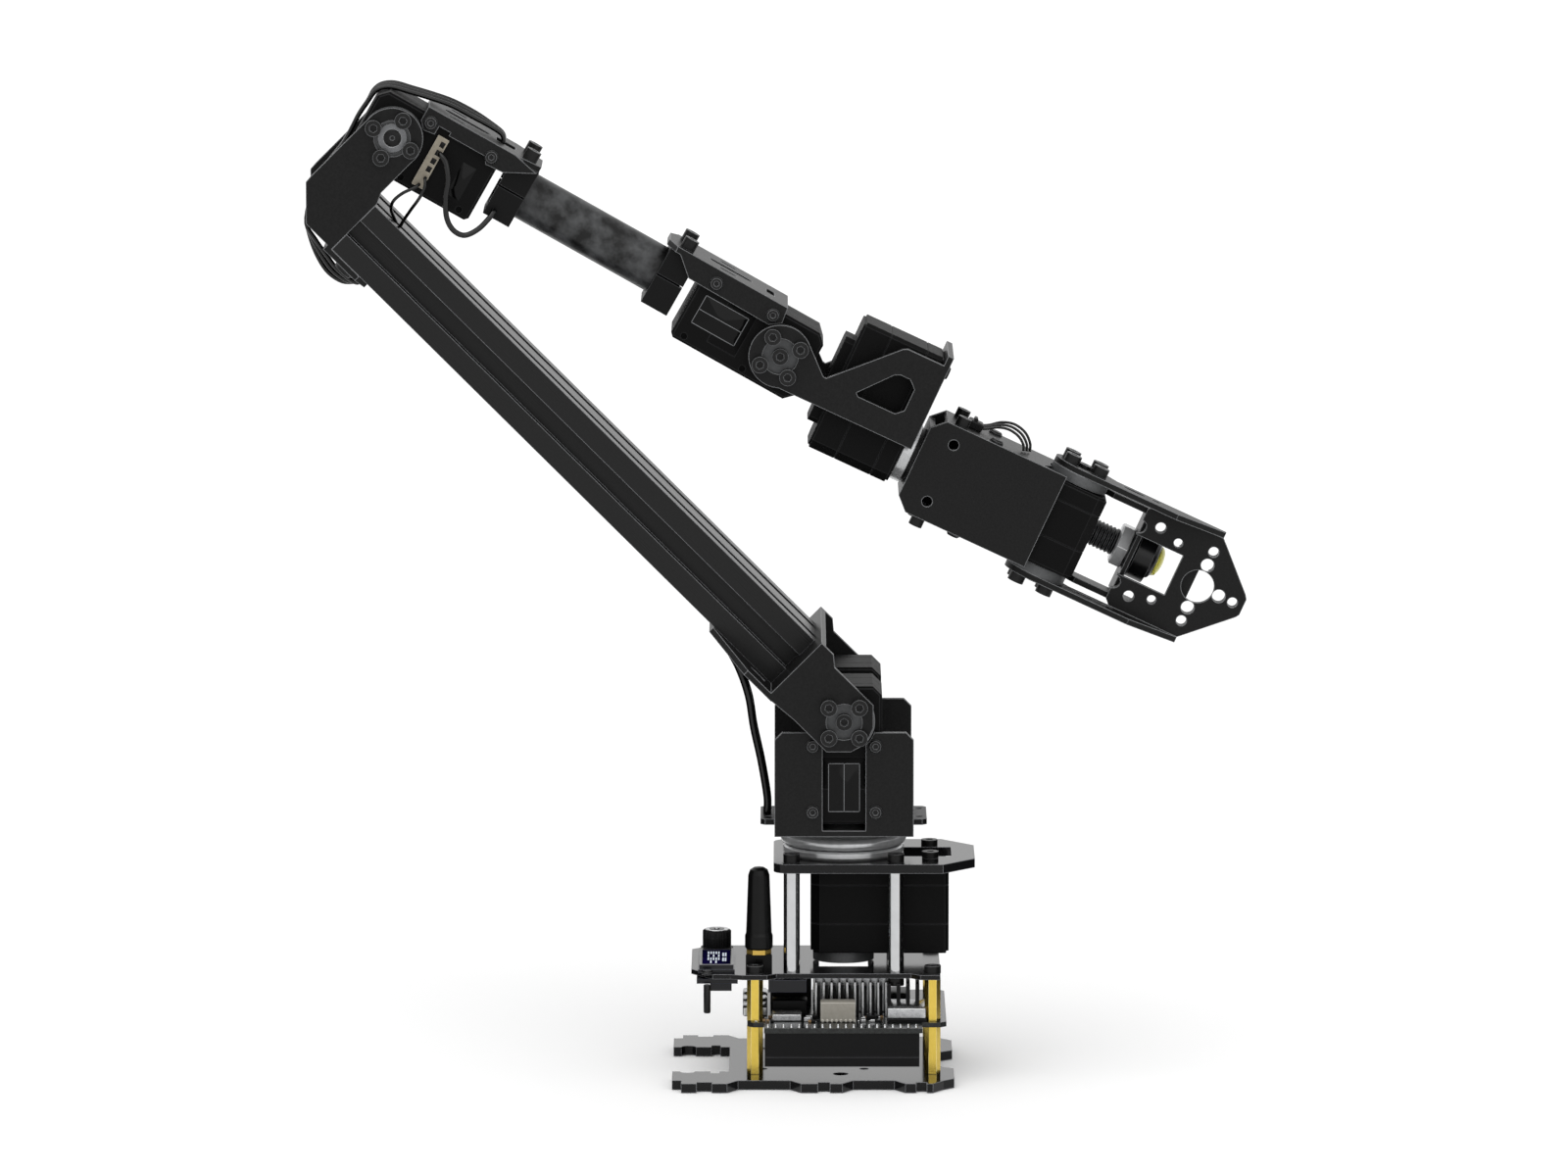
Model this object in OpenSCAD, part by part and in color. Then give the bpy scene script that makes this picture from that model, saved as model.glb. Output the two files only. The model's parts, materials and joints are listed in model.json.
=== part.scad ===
// Desktop robot arm: a plate-and-post base with a driver board, a turntable,
// a turret with two shoulder motors, a slotted upper beam, a tube forearm,
// a pitching wrist, a rolling hand and a two-jaw gripper with a small lamp.
// X points towards the gripper, Z is up, and the turntable turns about Z.

/* [Pose] */
// Angle of the upper beam above the horizontal, leaning back
beam_lean = 45; // [35:1:60]
// Angle of the forearm below the horizontal
forearm_dip = 29.5; // [15:0.5:32]
// Angle of the hand below the horizontal
hand_dip = 25; // [15:0.5:32]

/* [Sheet metal] */
// Thickness of the bent brackets
sheet = 2; // [1.5:0.1:2.5]
// Thickness of the bottom and top base plates
base_sheet = 3; // [2:0.5:4]
// Thickness of the shelf plate
shelf_sheet = 1.6; // [1.2:0.1:2]

/* [Motor] */
// Length of a motor case
motor_l = 45.2; // [44:0.2:47]
// Width of a motor case
motor_w = 24.7; // [24:0.1:25.2]
// Height of a motor case along its output shaft
motor_h = 28.7; // [28:0.1:29]
// Distance from the output shaft to the near end of the case
shaft_end = 10.8; // [10.6:0.1:11]
// Height of the rear cover
rear_cover_h = 9.6; // [8:0.2:11]
// Height of the front cover
front_cover_h = 6; // [5:0.2:7]
// Diameter of the output shaft
shaft_d = 6; // [5:0.2:6.4]
// Diameter of a horn disc
horn_d = 20; // [19:0.2:20.4]
// Distance from the case to the outer face of a horn
horn_h = 3.65; // [3.4:0.05:3.9]
// Circle of the horn screws
horn_pcd = 14; // [13:0.2:14.4]

/* [Base] */
// Half width of the bottom plate between its feet
base_half = 37.4; // [36:0.2:39]
// How far the feet stand out of the bottom plate
foot_out = 5.6; // [4:0.2:7]
// Height of the lower spacers
lower_gap = 16; // [14.5:0.5:18]
// Height of the upper spacers
upper_gap = 14; // [12:0.5:16]
// Height of the four chrome posts
post_h = 33; // [33:0.5:37]
// Diameter of a post
post_d = 5.3; // [4.6:0.1:5.8]
// Half spacing of the posts along X
post_x = 17; // [17:0.1:17.6]
// Half spacing of the posts along Y
post_y = 21; // [20.4:0.1:21.8]
// Half spacing of the spacers along X
spacer_x = 29; // [28:0.2:29.4]
// Half spacing of the spacers along Y
spacer_y = 24.5; // [24:0.1:25]
// Width across the flats of a spacer
spacer_af = 4.5; // [4:0.1:5]
// Thickness of the driver board
board_t = 1.6; // [1.2:0.1:2]

/* [Turret] */
// Height of the turntable above its bearing ring
table_h = 7.8; // [7.2:0.2:9]
// Radius of the turntable
table_r = 20.6; // [19:0.2:22]
// Height of the shoulder shaft above the turret floor
shoulder_h = 38.3; // [38:0.1:41]
// Gap between the two shoulder motors
shoulder_gap = 11.8; // [9:0.2:14]
// Half width of the turret along X
turret_x = 22.6; // [21.6:0.2:23]
// Half width of the open slot between the turret's side flanges
turret_slot = 7; // [6:0.2:8]

/* [Upper arm] */
// Distance from the shoulder to the elbow along the beam
beam_run = 236.2; // [210:0.2:260]
// Offset of the shoulder from the middle of the beam
elbow_offset = 29.4; // [28:0.2:33]
// Width of the beam
beam_w = 40; // [38.6:0.2:40]
// Depth of the beam
beam_d = 20; // [18:0.2:22]
// Width of a beam slot's mouth
slot_w = 6.2; // [5:0.2:7]
// Distance from the shoulder to the beam's lower end
beam_start = 23.5; // [23:0.2:25]
// Distance from the elbow to the beam's upper end
beam_stop = 11.5; // [11:0.1:13]

/* [Forearm] */
// Distance from the elbow to the wrist
forearm_l = 144.2; // [136:0.2:160]
// Diameter of the forearm tube
tube_d = 16; // [14:0.2:17]
// Bore of the forearm tube
tube_bore = 13; // [10:0.5:13.4]
// Height of the tube's axis above the motors' middle
tube_rise = 3; // [2:0.2:4]
// Width of a tube clamp along the tube
clamp_l = 9.6; // [8:0.2:11]

/* [Hand] */
// Gap between the wrist motor and the roll motor
roll_gap = 6.5; // [5.5:0.1:11]
// Drop of the roll axis below the wrist shaft
roll_drop = 13.3; // [12.6:0.1:14]
// Thickness of the washer between the roll horn and the hand
roll_shim = 1.3; // [0.5:0.1:2]
// Distance from the roll plate to the gripper shaft
grip_reach = 55; // [53:0.2:56]
// Distance from the gripper shaft to the tip of the jaws
jaw_l = 66.7; // [60:0.1:72]
// Height of the jaw's grip plate window
jaw_window = 14.3; // [12:0.1:16]
// Running gap between the closed jaws
jaw_gap = 0.6; // [0.3:0.1:1]

/* [Fits] */
// Radial running clearance of a shaft
shaft_gap = 0.05; // [0.02:0.01:0.1]
// Clearance between pieces that slide past each other
gap = 0.3; // [0.2:0.05:0.5]
// Clearance of a screw in its hole
screw_gap = 0.2; // [0.1:0.05:0.3]

/* [Hidden] */
$fn = 48;

motor_mid_h = motor_h - rear_cover_h - front_cover_h;
motor_far = motor_l - shaft_end;
shaft_in = 8;
hub_d = 11.6;
case_screw_x = [8.5, motor_far - 4.2];
case_screw_y = motor_w/2 - 2.15;
head_d = 5.4;
head_h = 3;
low_head_d = 4.6;
low_head_h = 1.2;
// Heights of the base, from the floor up
z_board = base_sheet + lower_gap;
z_shelf = z_board + board_t + upper_gap;
z_post = z_shelf + shelf_sheet;
z_top = z_post + post_h;
z_deck = z_top + base_sheet;
z_motor = z_top - motor_h/2;
ring_h = 3;
z_table = z_deck + ring_h + gap;
z_turret = z_table + table_h;
z_shoulder = z_turret + shoulder_h;
// The two shoulder motors
side_in = shoulder_gap/2 + motor_h;
side_out = side_in + sheet;
arm_in = side_in + horn_h;
arm_out = arm_in + sheet;
// Places of the joints
elbow_s = beam_run;
elbow_x = -beam_run*cos(beam_lean) + elbow_offset*sin(beam_lean);
elbow_z = z_shoulder + beam_run*sin(beam_lean) + elbow_offset*cos(beam_lean);
wrist_x = elbow_x + forearm_l*cos(forearm_dip);
wrist_z = elbow_z - forearm_l*sin(forearm_dip);
plate_in = motor_h/2 + horn_h;
plate_out = plate_in + sheet;
beam_end = beam_run - beam_stop;
roll_boss = 3.4;
roll_reach = shaft_end + roll_gap + roll_boss + motor_h;
roll_face = roll_reach + horn_h;
grip_x = roll_reach + grip_reach + sheet;
jaw_half = motor_h/2 + horn_h;

// Frames that the arm's links are drawn in. X runs along each link, and Z is up
// across it, except on the beam, where Z points to its underside.
module in_beam() translate([0, 0, z_shoulder]) rotate([0, -(180 - beam_lean), 0]) children();
module in_elbow() in_beam() translate([elbow_s, 0, -elbow_offset]) children();
module in_forearm() translate([elbow_x, 0, elbow_z]) rotate([0, forearm_dip, 0]) children();
module in_hand() translate([wrist_x, 0, wrist_z]) rotate([0, hand_dip, 0]) children();
module in_roll() in_hand() translate([0, 0, -roll_drop]) children();
// Turns a motor's shaft from Z to the side the camera sees, or away from it
module shaft_near() rotate([90, 0, 0]) children();
module shaft_far() rotate([-90, 0, 0]) children();

// A flat sheet in the XZ plane, from y to y + t
module side_sheet(y, t = sheet) translate([0, y + t, 0]) rotate([90, 0, 0]) linear_extrude(t) children();
// The same sheet on both sides, with its outer faces at y_out
module both_sides(y_out, t = sheet) {
  side_sheet(-y_out, t) children();
  side_sheet(y_out - t, t) children();
}
// A rectangle with its four corners cut at 45 degrees by c
module cut_rect(x0, x1, y0, y1, c)
  polygon([[x0 + c, y0], [x1 - c, y0], [x1, y0 + c], [x1, y1 - c],
           [x1 - c, y1], [x0 + c, y1], [x0, y1 - c], [x0, y0 + c]]);
// A slot with round ends between two points along X
module slot2d(x0, x1, y, d) {
  translate([x0, y]) circle(d = d);
  translate([x1, y]) circle(d = d);
  translate([x0, y - d/2]) square([x1 - x0, d]);
}
// Four points on a circle
module at_four(pcd, turn = 45) for (k = [0:3]) rotate([0, 0, turn + 90*k]) translate([pcd/2, 0, 0]) children();
module horn_holes(turn = 45) {
  circle(d = hub_d);
  at_four(horn_pcd, turn) circle(d = 3);
}
// A socket-head screw that stands on z = 0, with its shank below
module cap_screw(d = head_d, h = head_h, shank_d = 2.8, shank = 0) {
  difference() {
    cylinder(d = d, h = h);
    translate([0, 0, h - h*0.55]) cylinder(d = d*0.5, h = h, $fn = 6);
  }
  if (shank > 0) translate([0, 0, -shank]) cylinder(d = shank_d, h = shank);
}
// A low button-head screw that stands on z = 0
module low_screw(d = low_head_d, h = low_head_h, shank = 0) {
  difference() {
    rotate_extrude() polygon([[0, 0], [d/2, 0], [d/2, h*0.45], [d/2 - 0.5, h], [0, h]]);
    translate([0, 0, h*0.4]) cylinder(d = d*0.42, h = h, $fn = 6);
  }
  if (shank > 0) translate([0, 0, -shank]) cylinder(d = 1.9, h = shank);
}

// Motor: the shaft is on Z at the origin, and the case runs along +X
module motor_outline(inset = 0) {
  c = 3;
  r = 1.2;
  polygon([[-shaft_end + inset, -motor_w/2 + c], [-shaft_end + c, -motor_w/2 + inset],
    [motor_far - r, -motor_w/2 + inset], [motor_far - inset, -motor_w/2 + r + inset/2],
    [motor_far - inset, motor_w/2 - r - inset/2], [motor_far - r, motor_w/2 - inset],
    [-shaft_end + c, motor_w/2 - inset], [-shaft_end + inset, motor_w/2 - c]]);
}
module case_screws() for (x = case_screw_x, y = [-case_screw_y, case_screw_y]) translate([x, y, 0]) children();
seam = 0.25;
module motor_body() color("#26272a") {
  z0 = -motor_h/2 + rear_cover_h;
  difference() {
    union() {
      translate([0, 0, z0]) linear_extrude(motor_mid_h) motor_outline(seam);
      translate([0, 0, z0 + 0.3]) linear_extrude(motor_mid_h - 0.6) motor_outline();
    }
    cylinder(d = shaft_d + 2*shaft_gap, h = motor_h, center = true);
  }
}
module cover_shell(h, label) {
  inset = 0.8;
  recess = 0.4;
  difference() {
    union() {
      linear_extrude(h - inset) motor_outline();
      linear_extrude(h) motor_outline(inset);
    }
    translate([0, 0, -1]) cylinder(d = shaft_d + 2*shaft_gap, h = motor_h);
    if (label) translate([12.6, -8, h - recess]) cube([10.3, 16, 1]);
    translate([0, 0, h - 1.6]) case_screws() cylinder(d = 2.2, h = 3);
  }
}
module motor_covers(front_label = true, rear_label = true, rear_boss = 0) color("#1d1e20") {
  translate([0, 0, motor_h/2 - front_cover_h]) cover_shell(front_cover_h, front_label);
  translate([0, 0, -motor_h/2 + rear_cover_h]) mirror([0, 0, 1]) cover_shell(rear_cover_h, rear_label);
  if (rear_boss > 0)
    translate([0, 0, -motor_h/2 - rear_boss]) linear_extrude(rear_boss + 0.5)
      cut_rect(-3, 27, -9, 9, 1.5);
}
// The driven disc with its splined shaft, standing on the front of the case
module horn(turn = 45, centre = 3) difference() {
  union() {
    translate([0, 0, motor_h/2 + gap]) cylinder(d = horn_d, h = horn_h - gap);
    translate([0, 0, motor_h/2 - shaft_in]) cylinder(d = shaft_d, h = shaft_in + 1);
  }
  translate([0, 0, motor_h/2 - 1]) cylinder(d = centre, h = horn_h + 2);
  translate([0, 0, motor_h/2 - 1]) at_four(horn_pcd, turn) cylinder(d = 2.5, h = horn_h + 2);
}
module horn_pair(turn = 45, centre = 3) color("silver") {
  horn(turn, centre);
  mirror([0, 0, 1]) horn(turn, centre);
}
// The four screws of a bracket on a horn, and the centre screw
module horn_screws(turn = 45, centre = true) {
  z = motor_h/2 + horn_h + sheet;
  translate([0, 0, z]) at_four(horn_pcd, turn) cap_screw(shank = sheet + 2, shank_d = 2.4);
  if (centre) translate([0, 0, z - sheet]) cap_screw(shank = 3);
}

// Base
plate_left = -56;
plate_right = 36;
fork_x = -37.4;
fork_y = 21.5;
// Feet of the bottom plate: [left, right, notch from, notch to], all along X
feet = [[-53, -38, -48, -43], [-14, -0.5, -8.5, -4.5], [20, 29, 23.5, 27]];
foot_y = base_half + foot_out;
function foot_pts(f, left) = [[f[0] - left, base_half], [f[0], foot_y], [f[2], foot_y],
  [f[2], foot_y - 2.6], [f[3], foot_y - 2.6], [f[3], foot_y], [f[1], foot_y], [f[1] + 3.5, base_half]];
function mirror_y(p) = [for (i = [len(p) - 1:-1:0]) [p[i][0], -p[i][1]]];
plate_edge = concat([[fork_x, fork_y], [-40.5, fork_y], [-40.5, fork_y + 3], [-43.5, fork_y + 3],
    [-43.5, fork_y], [plate_left, fork_y], [plate_left, base_half]],
  foot_pts(feet[0], 0), foot_pts(feet[1], 3.5), foot_pts(feet[2], 3.5),
  [[plate_right, base_half - 3.5], [plate_right, 16], [plate_right - 5, 12]]);
module bottom_plate() color("#2b2d31") linear_extrude(base_sheet) difference() {
  polygon(concat(plate_edge, mirror_y(plate_edge)));
  for (m = [0, 1]) mirror([0, m]) translate([-51, fork_y]) circle(r = 2.4);
  translate([-1, -26]) circle(d = 5);
  translate([6.7, -17]) circle(d = 3);
  translate([-26.5, -17]) circle(d = 3);
  translate([-26.5, 19]) circle(d = 3);
  at_spacers() circle(d = 2.7);
}
module at_spacers() for (x = [-spacer_x, spacer_x], y = [-spacer_y, spacer_y]) translate([x, y, 0]) children();
module spacer(h) difference() {
  cylinder(d = spacer_af/cos(30), h = h, $fn = 6);
  translate([0, 0, h - 5]) cylinder(d = 2.1, h = 6);
}
module lower_spacers() color("#d8b45a") at_spacers() translate([0, 0, base_sheet]) spacer(lower_gap);
module upper_spacers() color("#d8b45a") at_spacers() translate([0, 0, z_board + board_t]) spacer(upper_gap);
board_x = [-31.5, 33.5];
board_y = 31;
board_near = -29;
tongue_y = -39.5;
header_x = -25.8;
header_l = 50.4;
module driver_board() color("#202428") translate([0, 0, z_board]) linear_extrude(board_t) difference() {
  polygon([[board_x[0] + 2, board_near], [header_x - 0.2, board_near], [header_x - 0.2, tongue_y],
           [header_x + header_l + 1, tongue_y], [header_x + header_l + 1, board_near], [board_x[1] - 2, board_near],
           [board_x[1], board_near + 2], [board_x[1], board_y - 2], [board_x[1] - 2, board_y],
           [board_x[0] + 2, board_y], [board_x[0], board_y - 2], [board_x[0], board_near + 2]]);
  at_spacers() circle(d = 2.7);
}
header_h = 11.1;
header_w = 5;
pin_pitch = 2.54;
module stacking_header() color("#2a2b2d") translate([header_x, tongue_y + 0.3, z_board - header_h]) {
  difference() {
    cube([header_l, header_w, header_h]);
    translate([-1, -1, 3]) cube([header_l + 2, 1.15, 0.3]);
    for (k = [0:19], y = [-0.5, 0.5])
      translate([header_l/2 + pin_pitch*(k - 9.5), header_w/2 + pin_pitch*y, -1]) cylinder(d = 1, h = 5, $fn = 4);
  }
}
// Shells of the data sockets, the plug headers and the power terminals
module board_parts() color("#b9bcc0") translate([0, 0, z_board + board_t]) {
  for (y = [-18, -4]) translate([board_x[0] - 1.5, y, 0]) difference() {
    cube([8, 9, 3.2]);
    translate([-1, 0.5, 0.4]) cube([6, 8, 2.4]);
  }
  translate([-22.5, -27, 0]) cube([7.6, 9, 3.6]);
  translate([-23.4, -16, 0]) cube([11.4, 8, 5]);
  translate([-8.4, -29, 0]) difference() {
    cube([12.2, 8, 6.6]);
    translate([1, 2, 2]) cube([10.2, 5, 5]);
  }
  for (k = [0:9]) translate([-9.6 + 2.5*k, -18, 0]) difference() {
    cube([1.9, 8, 11.6]);
    translate([0.4, -1, 3]) cube([1.1, 4, 7]);
  }
  translate([12.4, -28.4, 0]) difference() {
    cube([13.4, 17, 4.6]);
    translate([1, -1, 0.6]) cube([13, 1.8, 1.3]);
  }
  for (k = [0:3]) translate([14 + 3.2*k, -26, 4.6]) cube([1.7, 13, 6.2]);
  translate([10, 2, 0]) cylinder(d = 10, h = 10);
  translate([-10, 8, 0]) cube([14, 14, 4]);
}
shelf_x = [-49.8, 31.5];
shelf_y = 27;
jack_x = -41.6;
jack_y = 16;
whip_x = -27.7;
whip_y = -18.6;
module shelf_plate() color("#2b2d31") translate([0, 0, z_shelf]) linear_extrude(shelf_sheet) difference() {
  polygon([[shelf_x[0], -17], [shelf_x[0] + 7, -shelf_y], [-37, -shelf_y], [-33, -shelf_y - 1.5],
    [-25, -shelf_y - 1.5], [-22, -shelf_y + 1.5], [22, -shelf_y + 1.5], [25, -shelf_y - 1.5],
    [shelf_x[1], -shelf_y - 1.5], [shelf_x[1], shelf_y], [shelf_x[0] + 7, shelf_y], [shelf_x[0], 20]]);
  at_spacers() circle(d = 2.7);
  for (x = [-post_x, post_x], y = [-post_y, post_y]) translate([x, y]) circle(d = 3 + screw_gap);
  translate([jack_x, jack_y]) circle(d = 7.8);
  translate([-8, -12]) square([16, 20]);
}
module display_module() color("#1b1d3a") translate([jack_x, -7, z_post]) difference() {
  union() {
    translate([-6, -17.7, 0]) cube([12, 35.2, 1.2]);
    translate([-5.6, -17.2, 1.2]) cube([11.2, 31, 1.5]);
  }
  translate([-4.6, -16, 2.4]) cube([9.2, 27, 1]);
}
// What hangs under the shelf: the display's board with its plug, and the far block
module shelf_underside() color("#1b1c1e") translate([0, 0, z_shelf]) {
  translate([-48, -24.6, -1.9]) cube([13.4, 30, 1.6]);
  translate([-43.6, -24, -4.4]) cube([7, 6, 2.4]);
  translate([-24.6, -26.8, -4.4]) cube([12.4, 2.8, 4.1]);
}
module power_socket() color("#1a1b1c") {
  translate([jack_x, jack_y, z_post]) difference() {
    union() {
      cylinder(d = 10.6, h = 1.6);
      cylinder(d = 9.2, h = 5);
    }
    translate([0, 0, 1]) difference() {
      cylinder(d = 6.4, h = 6);
      cylinder(d = 2, h = 5);
    }
  }
  translate([jack_x, jack_y, z_shelf - 7]) cylinder(d = 7.6, h = 7 + shelf_sheet);
  translate([jack_x, jack_y, z_shelf - 2]) cylinder(d = 10.4, h = 2, $fn = 6);
}
mount_h = 5.5;
nut_h = 1.6;
module antenna_mount() color("#c9a24b") {
  translate([whip_x, whip_y, z_post]) difference() {
    translate([-4.3, -2.8, 0]) cube([8.6, 7, mount_h]);
    translate([-1.2, -4, 1]) cube([2.4, 3.2, 3]);
  }
  translate([whip_x, whip_y, z_post + mount_h]) cylinder(d = 8.1, h = nut_h, $fn = 6);
}
module antenna_whip() color("#161616") translate([whip_x, whip_y, z_post + mount_h + nut_h]) rotate_extrude()
  polygon([[0, 0], [4.1, 0], [4.55, 0.6], [4.55, 4.4], [4.2, 5.4], [3.5, 24.4], [2.9, 26.2], [1.6, 27], [0, 27.2]]);
module at_posts() for (x = [-post_x, post_x], y = [-post_y, post_y]) translate([x, y, 0]) children();
module tower_posts() color("#c8cacd") at_posts() translate([0, 0, z_post]) difference() {
  cylinder(d = post_d, h = post_h);
  for (z = [-1, post_h - 6]) translate([0, 0, z]) cylinder(d = 2.5, h = 7);
}
top_x = [-22.9, 42.9];
top_y = 25;
module top_plate() color("#2b2d31") translate([0, 0, z_top]) linear_extrude(base_sheet) difference() {
  union() {
    polygon([[top_x[0], -top_y + 5], [top_x[0] + 5, -top_y], [32.4, -top_y], [top_x[1], -13],
             [top_x[1], 13], [32.4, top_y], [top_x[0] + 5, top_y], [top_x[0], top_y - 5]]);
    for (y = [-1, 1]) translate([top_x[0] + 5, y*(top_y - 5)]) circle(r = 5);
  }
  circle(d = horn_d + 2*gap);
  translate([19.6, -9]) square([15.7, 18]);
  for (x = [-post_x, post_x], y = [-post_y, post_y]) translate([x, y]) circle(d = 3 + screw_gap);
}
module base_screws() color("#3a3b3e") {
  at_posts() {
    translate([0, 0, z_deck]) cap_screw(shank = base_sheet);
    translate([0, 0, z_shelf]) mirror([0, 0, 1]) cap_screw(shank = shelf_sheet);
  }
  at_spacers() translate([0, 0, z_post]) cap_screw(h = 2.6, shank_d = 2, shank = shelf_sheet + 2);
  for (y = [-11.6, 11.6]) translate([28.3, y, z_deck]) cap_screw(h = 2.2);
  translate([jack_x - 3, -26.8, z_post]) low_screw(d = 3.6, h = 1.4);
}
bore_r = 13;
module bearing_ring() color("#d4d6d8") translate([0, 0, z_deck]) rotate_extrude()
  polygon([[bore_r, 0], [table_r - 1.6, 0], [table_r - 0.8, 0.8], [table_r - 0.8, ring_h - 0.6],
           [table_r - 1.4, ring_h], [bore_r, ring_h]]);
module base_motor_body() translate([0, 0, z_motor]) motor_body();
module base_motor_covers() translate([0, 0, z_motor]) motor_covers(false, false);

// Turret
module base_horns() translate([0, 0, z_motor]) horn_pair();
hub_r = 12;
module turntable() color("#e2e4e6") difference() {
  union() {
    translate([0, 0, z_table]) rotate_extrude() {
      polygon([[0, 0], [table_r - 2, 0], [table_r - 2, 3.8], [table_r - 4.4, 4.6],
               [15.6, table_h - 1.6], [15, table_h], [0, table_h]]);
      translate([table_r - 2, 2]) circle(r = 2, $fn = 24);
    }
    translate([0, 0, z_top + horn_h]) cylinder(r = hub_r, h = z_table - z_top - horn_h + 1);
  }
  translate([0, 0, z_top]) cylinder(d = 5, h = 30);
}
wing_y = 13;
module turret_bracket() color("#2b2d31") {
  translate([0, 0, z_turret]) linear_extrude(sheet) difference() {
    union() {
      translate([-turret_x, -side_out]) square([2*turret_x, 2*side_out]);
      cut_rect(-turret_x - 4.6, turret_x + 4.6, -wing_y, wing_y, 1.5);
    }
    circle(d = 5 + screw_gap);
    at_four(20) circle(d = 3 + screw_gap);
    for (x = [-24.6, 24.6], y = [-8, 8]) translate([x, y]) circle(d = 2.6);
  }
  difference() {
    both_sides(side_out) for (m = [0, 1]) mirror([m, 0])
      polygon([[turret_slot, z_turret], [turret_x, z_turret], [turret_x, z_shoulder - 6.5],
               [turret_x - 2.5, z_shoulder - 4], [turret_slot + 2.5, z_shoulder - 4],
               [turret_slot, z_shoulder - 6.5]]);
    for (x = [-case_screw_y, case_screw_y], z = case_screw_x)
      translate([x, 0, z_shoulder - z]) rotate([90, 0, 0]) cylinder(d = 2.4, h = 100, center = true);
    translate([0, 0, z_shoulder]) rotate([90, 0, 0]) cylinder(d = horn_d + 4*gap, h = 100, center = true);
  }
}
module in_near_shoulder() translate([0, -(shoulder_gap + motor_h)/2, z_shoulder])
  rotate([90, 0, 0]) rotate([0, 0, -90]) children();
module in_far_shoulder() translate([0, (shoulder_gap + motor_h)/2, z_shoulder])
  rotate([-90, 0, 0]) rotate([0, 0, 90]) children();
module shoulder_motor_near_body() in_near_shoulder() motor_body();
module shoulder_motor_near_covers() in_near_shoulder() motor_covers(true, false);
module shoulder_motor_far_body() in_far_shoulder() motor_body();
module shoulder_motor_far_covers() in_far_shoulder() motor_covers(true, false);
module turret_screws() color("#3a3b3e") {
  for (m = [0, 1]) mirror([0, m, 0])
    for (x = [-case_screw_y, case_screw_y], z = case_screw_x)
      translate([x, -side_out, z_shoulder - z]) rotate([90, 0, 0]) low_screw(shank = sheet);
  translate([0, 0, z_turret + sheet]) at_four(20) low_screw(shank = sheet);
}

// Upper arm
module shoulder_horns() color("silver") {
  in_near_shoulder() horn(45);
  in_far_shoulder() horn(45);
}
module shoulder_bracket() color("#2b2d31") in_beam() {
  difference() {
    both_sides(arm_out)
      polygon([[beam_start, 12], [beam_start, -13.2], [18, -13.2], [14.8, -10.5], [-2.8, -10.6],
               [-8.1, -5.3], [-10, 0], [-8.5, 5.4], [-2.9, 11], [12, 11]]);
    rotate([90, 0, 0]) {
      cylinder(d = hub_d, h = 100, center = true);
      at_four(horn_pcd, 0) cylinder(d = 3, h = 100, center = true);
    }
  }
  difference() {
    translate([beam_start - sheet, -arm_out, -13.2]) cube([sheet, 2*arm_out, 25.2]);
    for (y = [-beam_w/4, beam_w/4]) translate([beam_start - 5, y, 0]) rotate([0, 90, 0]) cylinder(d = 5 + screw_gap, h = 10);
  }
  translate([0, 0, beam_d/2]) linear_extrude(sheet) difference() {
    polygon([[beam_start - sheet, -arm_out], [34, -arm_out], [50, -22], [50, 22], [34, arm_out],
             [beam_start - sheet, arm_out]]);
    for (y = [-10, 10]) slot2d(32, 38, y, 4.4);
    slot2d(30, 42, 0, 6);
    for (y = [-28, 28]) slot2d(28, 31, y, 3.4);
  }
}
core_d = 5;
slot_in = 5.6;
undercut = 11;
module beam_slot() {
  translate([-slot_w/2, -slot_in]) square([slot_w, slot_in + 1]);
  polygon([[-undercut/2, -1.9], [undercut/2, -1.9], [undercut/2, -3.4], [slot_w/2, -slot_in],
           [-slot_w/2, -slot_in], [-undercut/2, -3.4]]);
}
module beam_profile() difference() {
  square([beam_d, beam_w], center = true);
  for (y = [-beam_w/4, beam_w/4]) {
    translate([0, y]) circle(d = core_d);
    for (m = [0, 1]) mirror([m, 0]) translate([beam_d/2, y]) rotate(-90) beam_slot();
  }
  for (m = [0, 1]) mirror([0, m]) translate([0, beam_w/2]) beam_slot();
  square([5, 4.4], center = true);
}
module main_beam() color("#26282b") in_beam() translate([beam_start, 0, 0]) rotate([0, 90, 0])
  linear_extrude(beam_end - beam_start) beam_profile();
module elbow_bracket() color("#2b2d31") in_elbow() {
  under = elbow_offset + beam_d/2;
  difference() {
    both_sides(plate_out) union() {
      circle(r = horn_d/2);
      polygon([[-9.9, 0], [10, 0], [10, 27.3], [9.8, 29.8], [0.2, under], [-beam_stop, under],
               [-beam_stop, 18.5], [-9.9, 15]]);
    }
    rotate([90, 0, 0]) {
      cylinder(d = hub_d, h = 100, center = true);
      at_four(horn_pcd, 14) cylinder(d = 3, h = 100, center = true);
    }
  }
  difference() {
    translate([-beam_stop, -plate_out, elbow_offset - 9.5]) cube([sheet, 2*plate_out, 9.5 + beam_d/2 + sheet]);
    for (y = [-beam_w/4, beam_w/4]) translate([-beam_stop - 2, y, elbow_offset]) rotate([0, 90, 0]) cylinder(d = 5 + screw_gap, h = 10);
  }
  translate([0, 0, under]) linear_extrude(sheet) difference() {
    polygon([[-beam_stop + sheet, -plate_out], [-beam_stop + sheet, plate_out], [-24, plate_out], [-28, 15],
             [-28, -15], [-24, -plate_out]]);
    for (y = [-10, 10]) slot2d(-22, -17, y, 4.4);
  }
}
module elbow_horns() in_elbow() shaft_near() horn_pair(14, 5.4);
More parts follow.
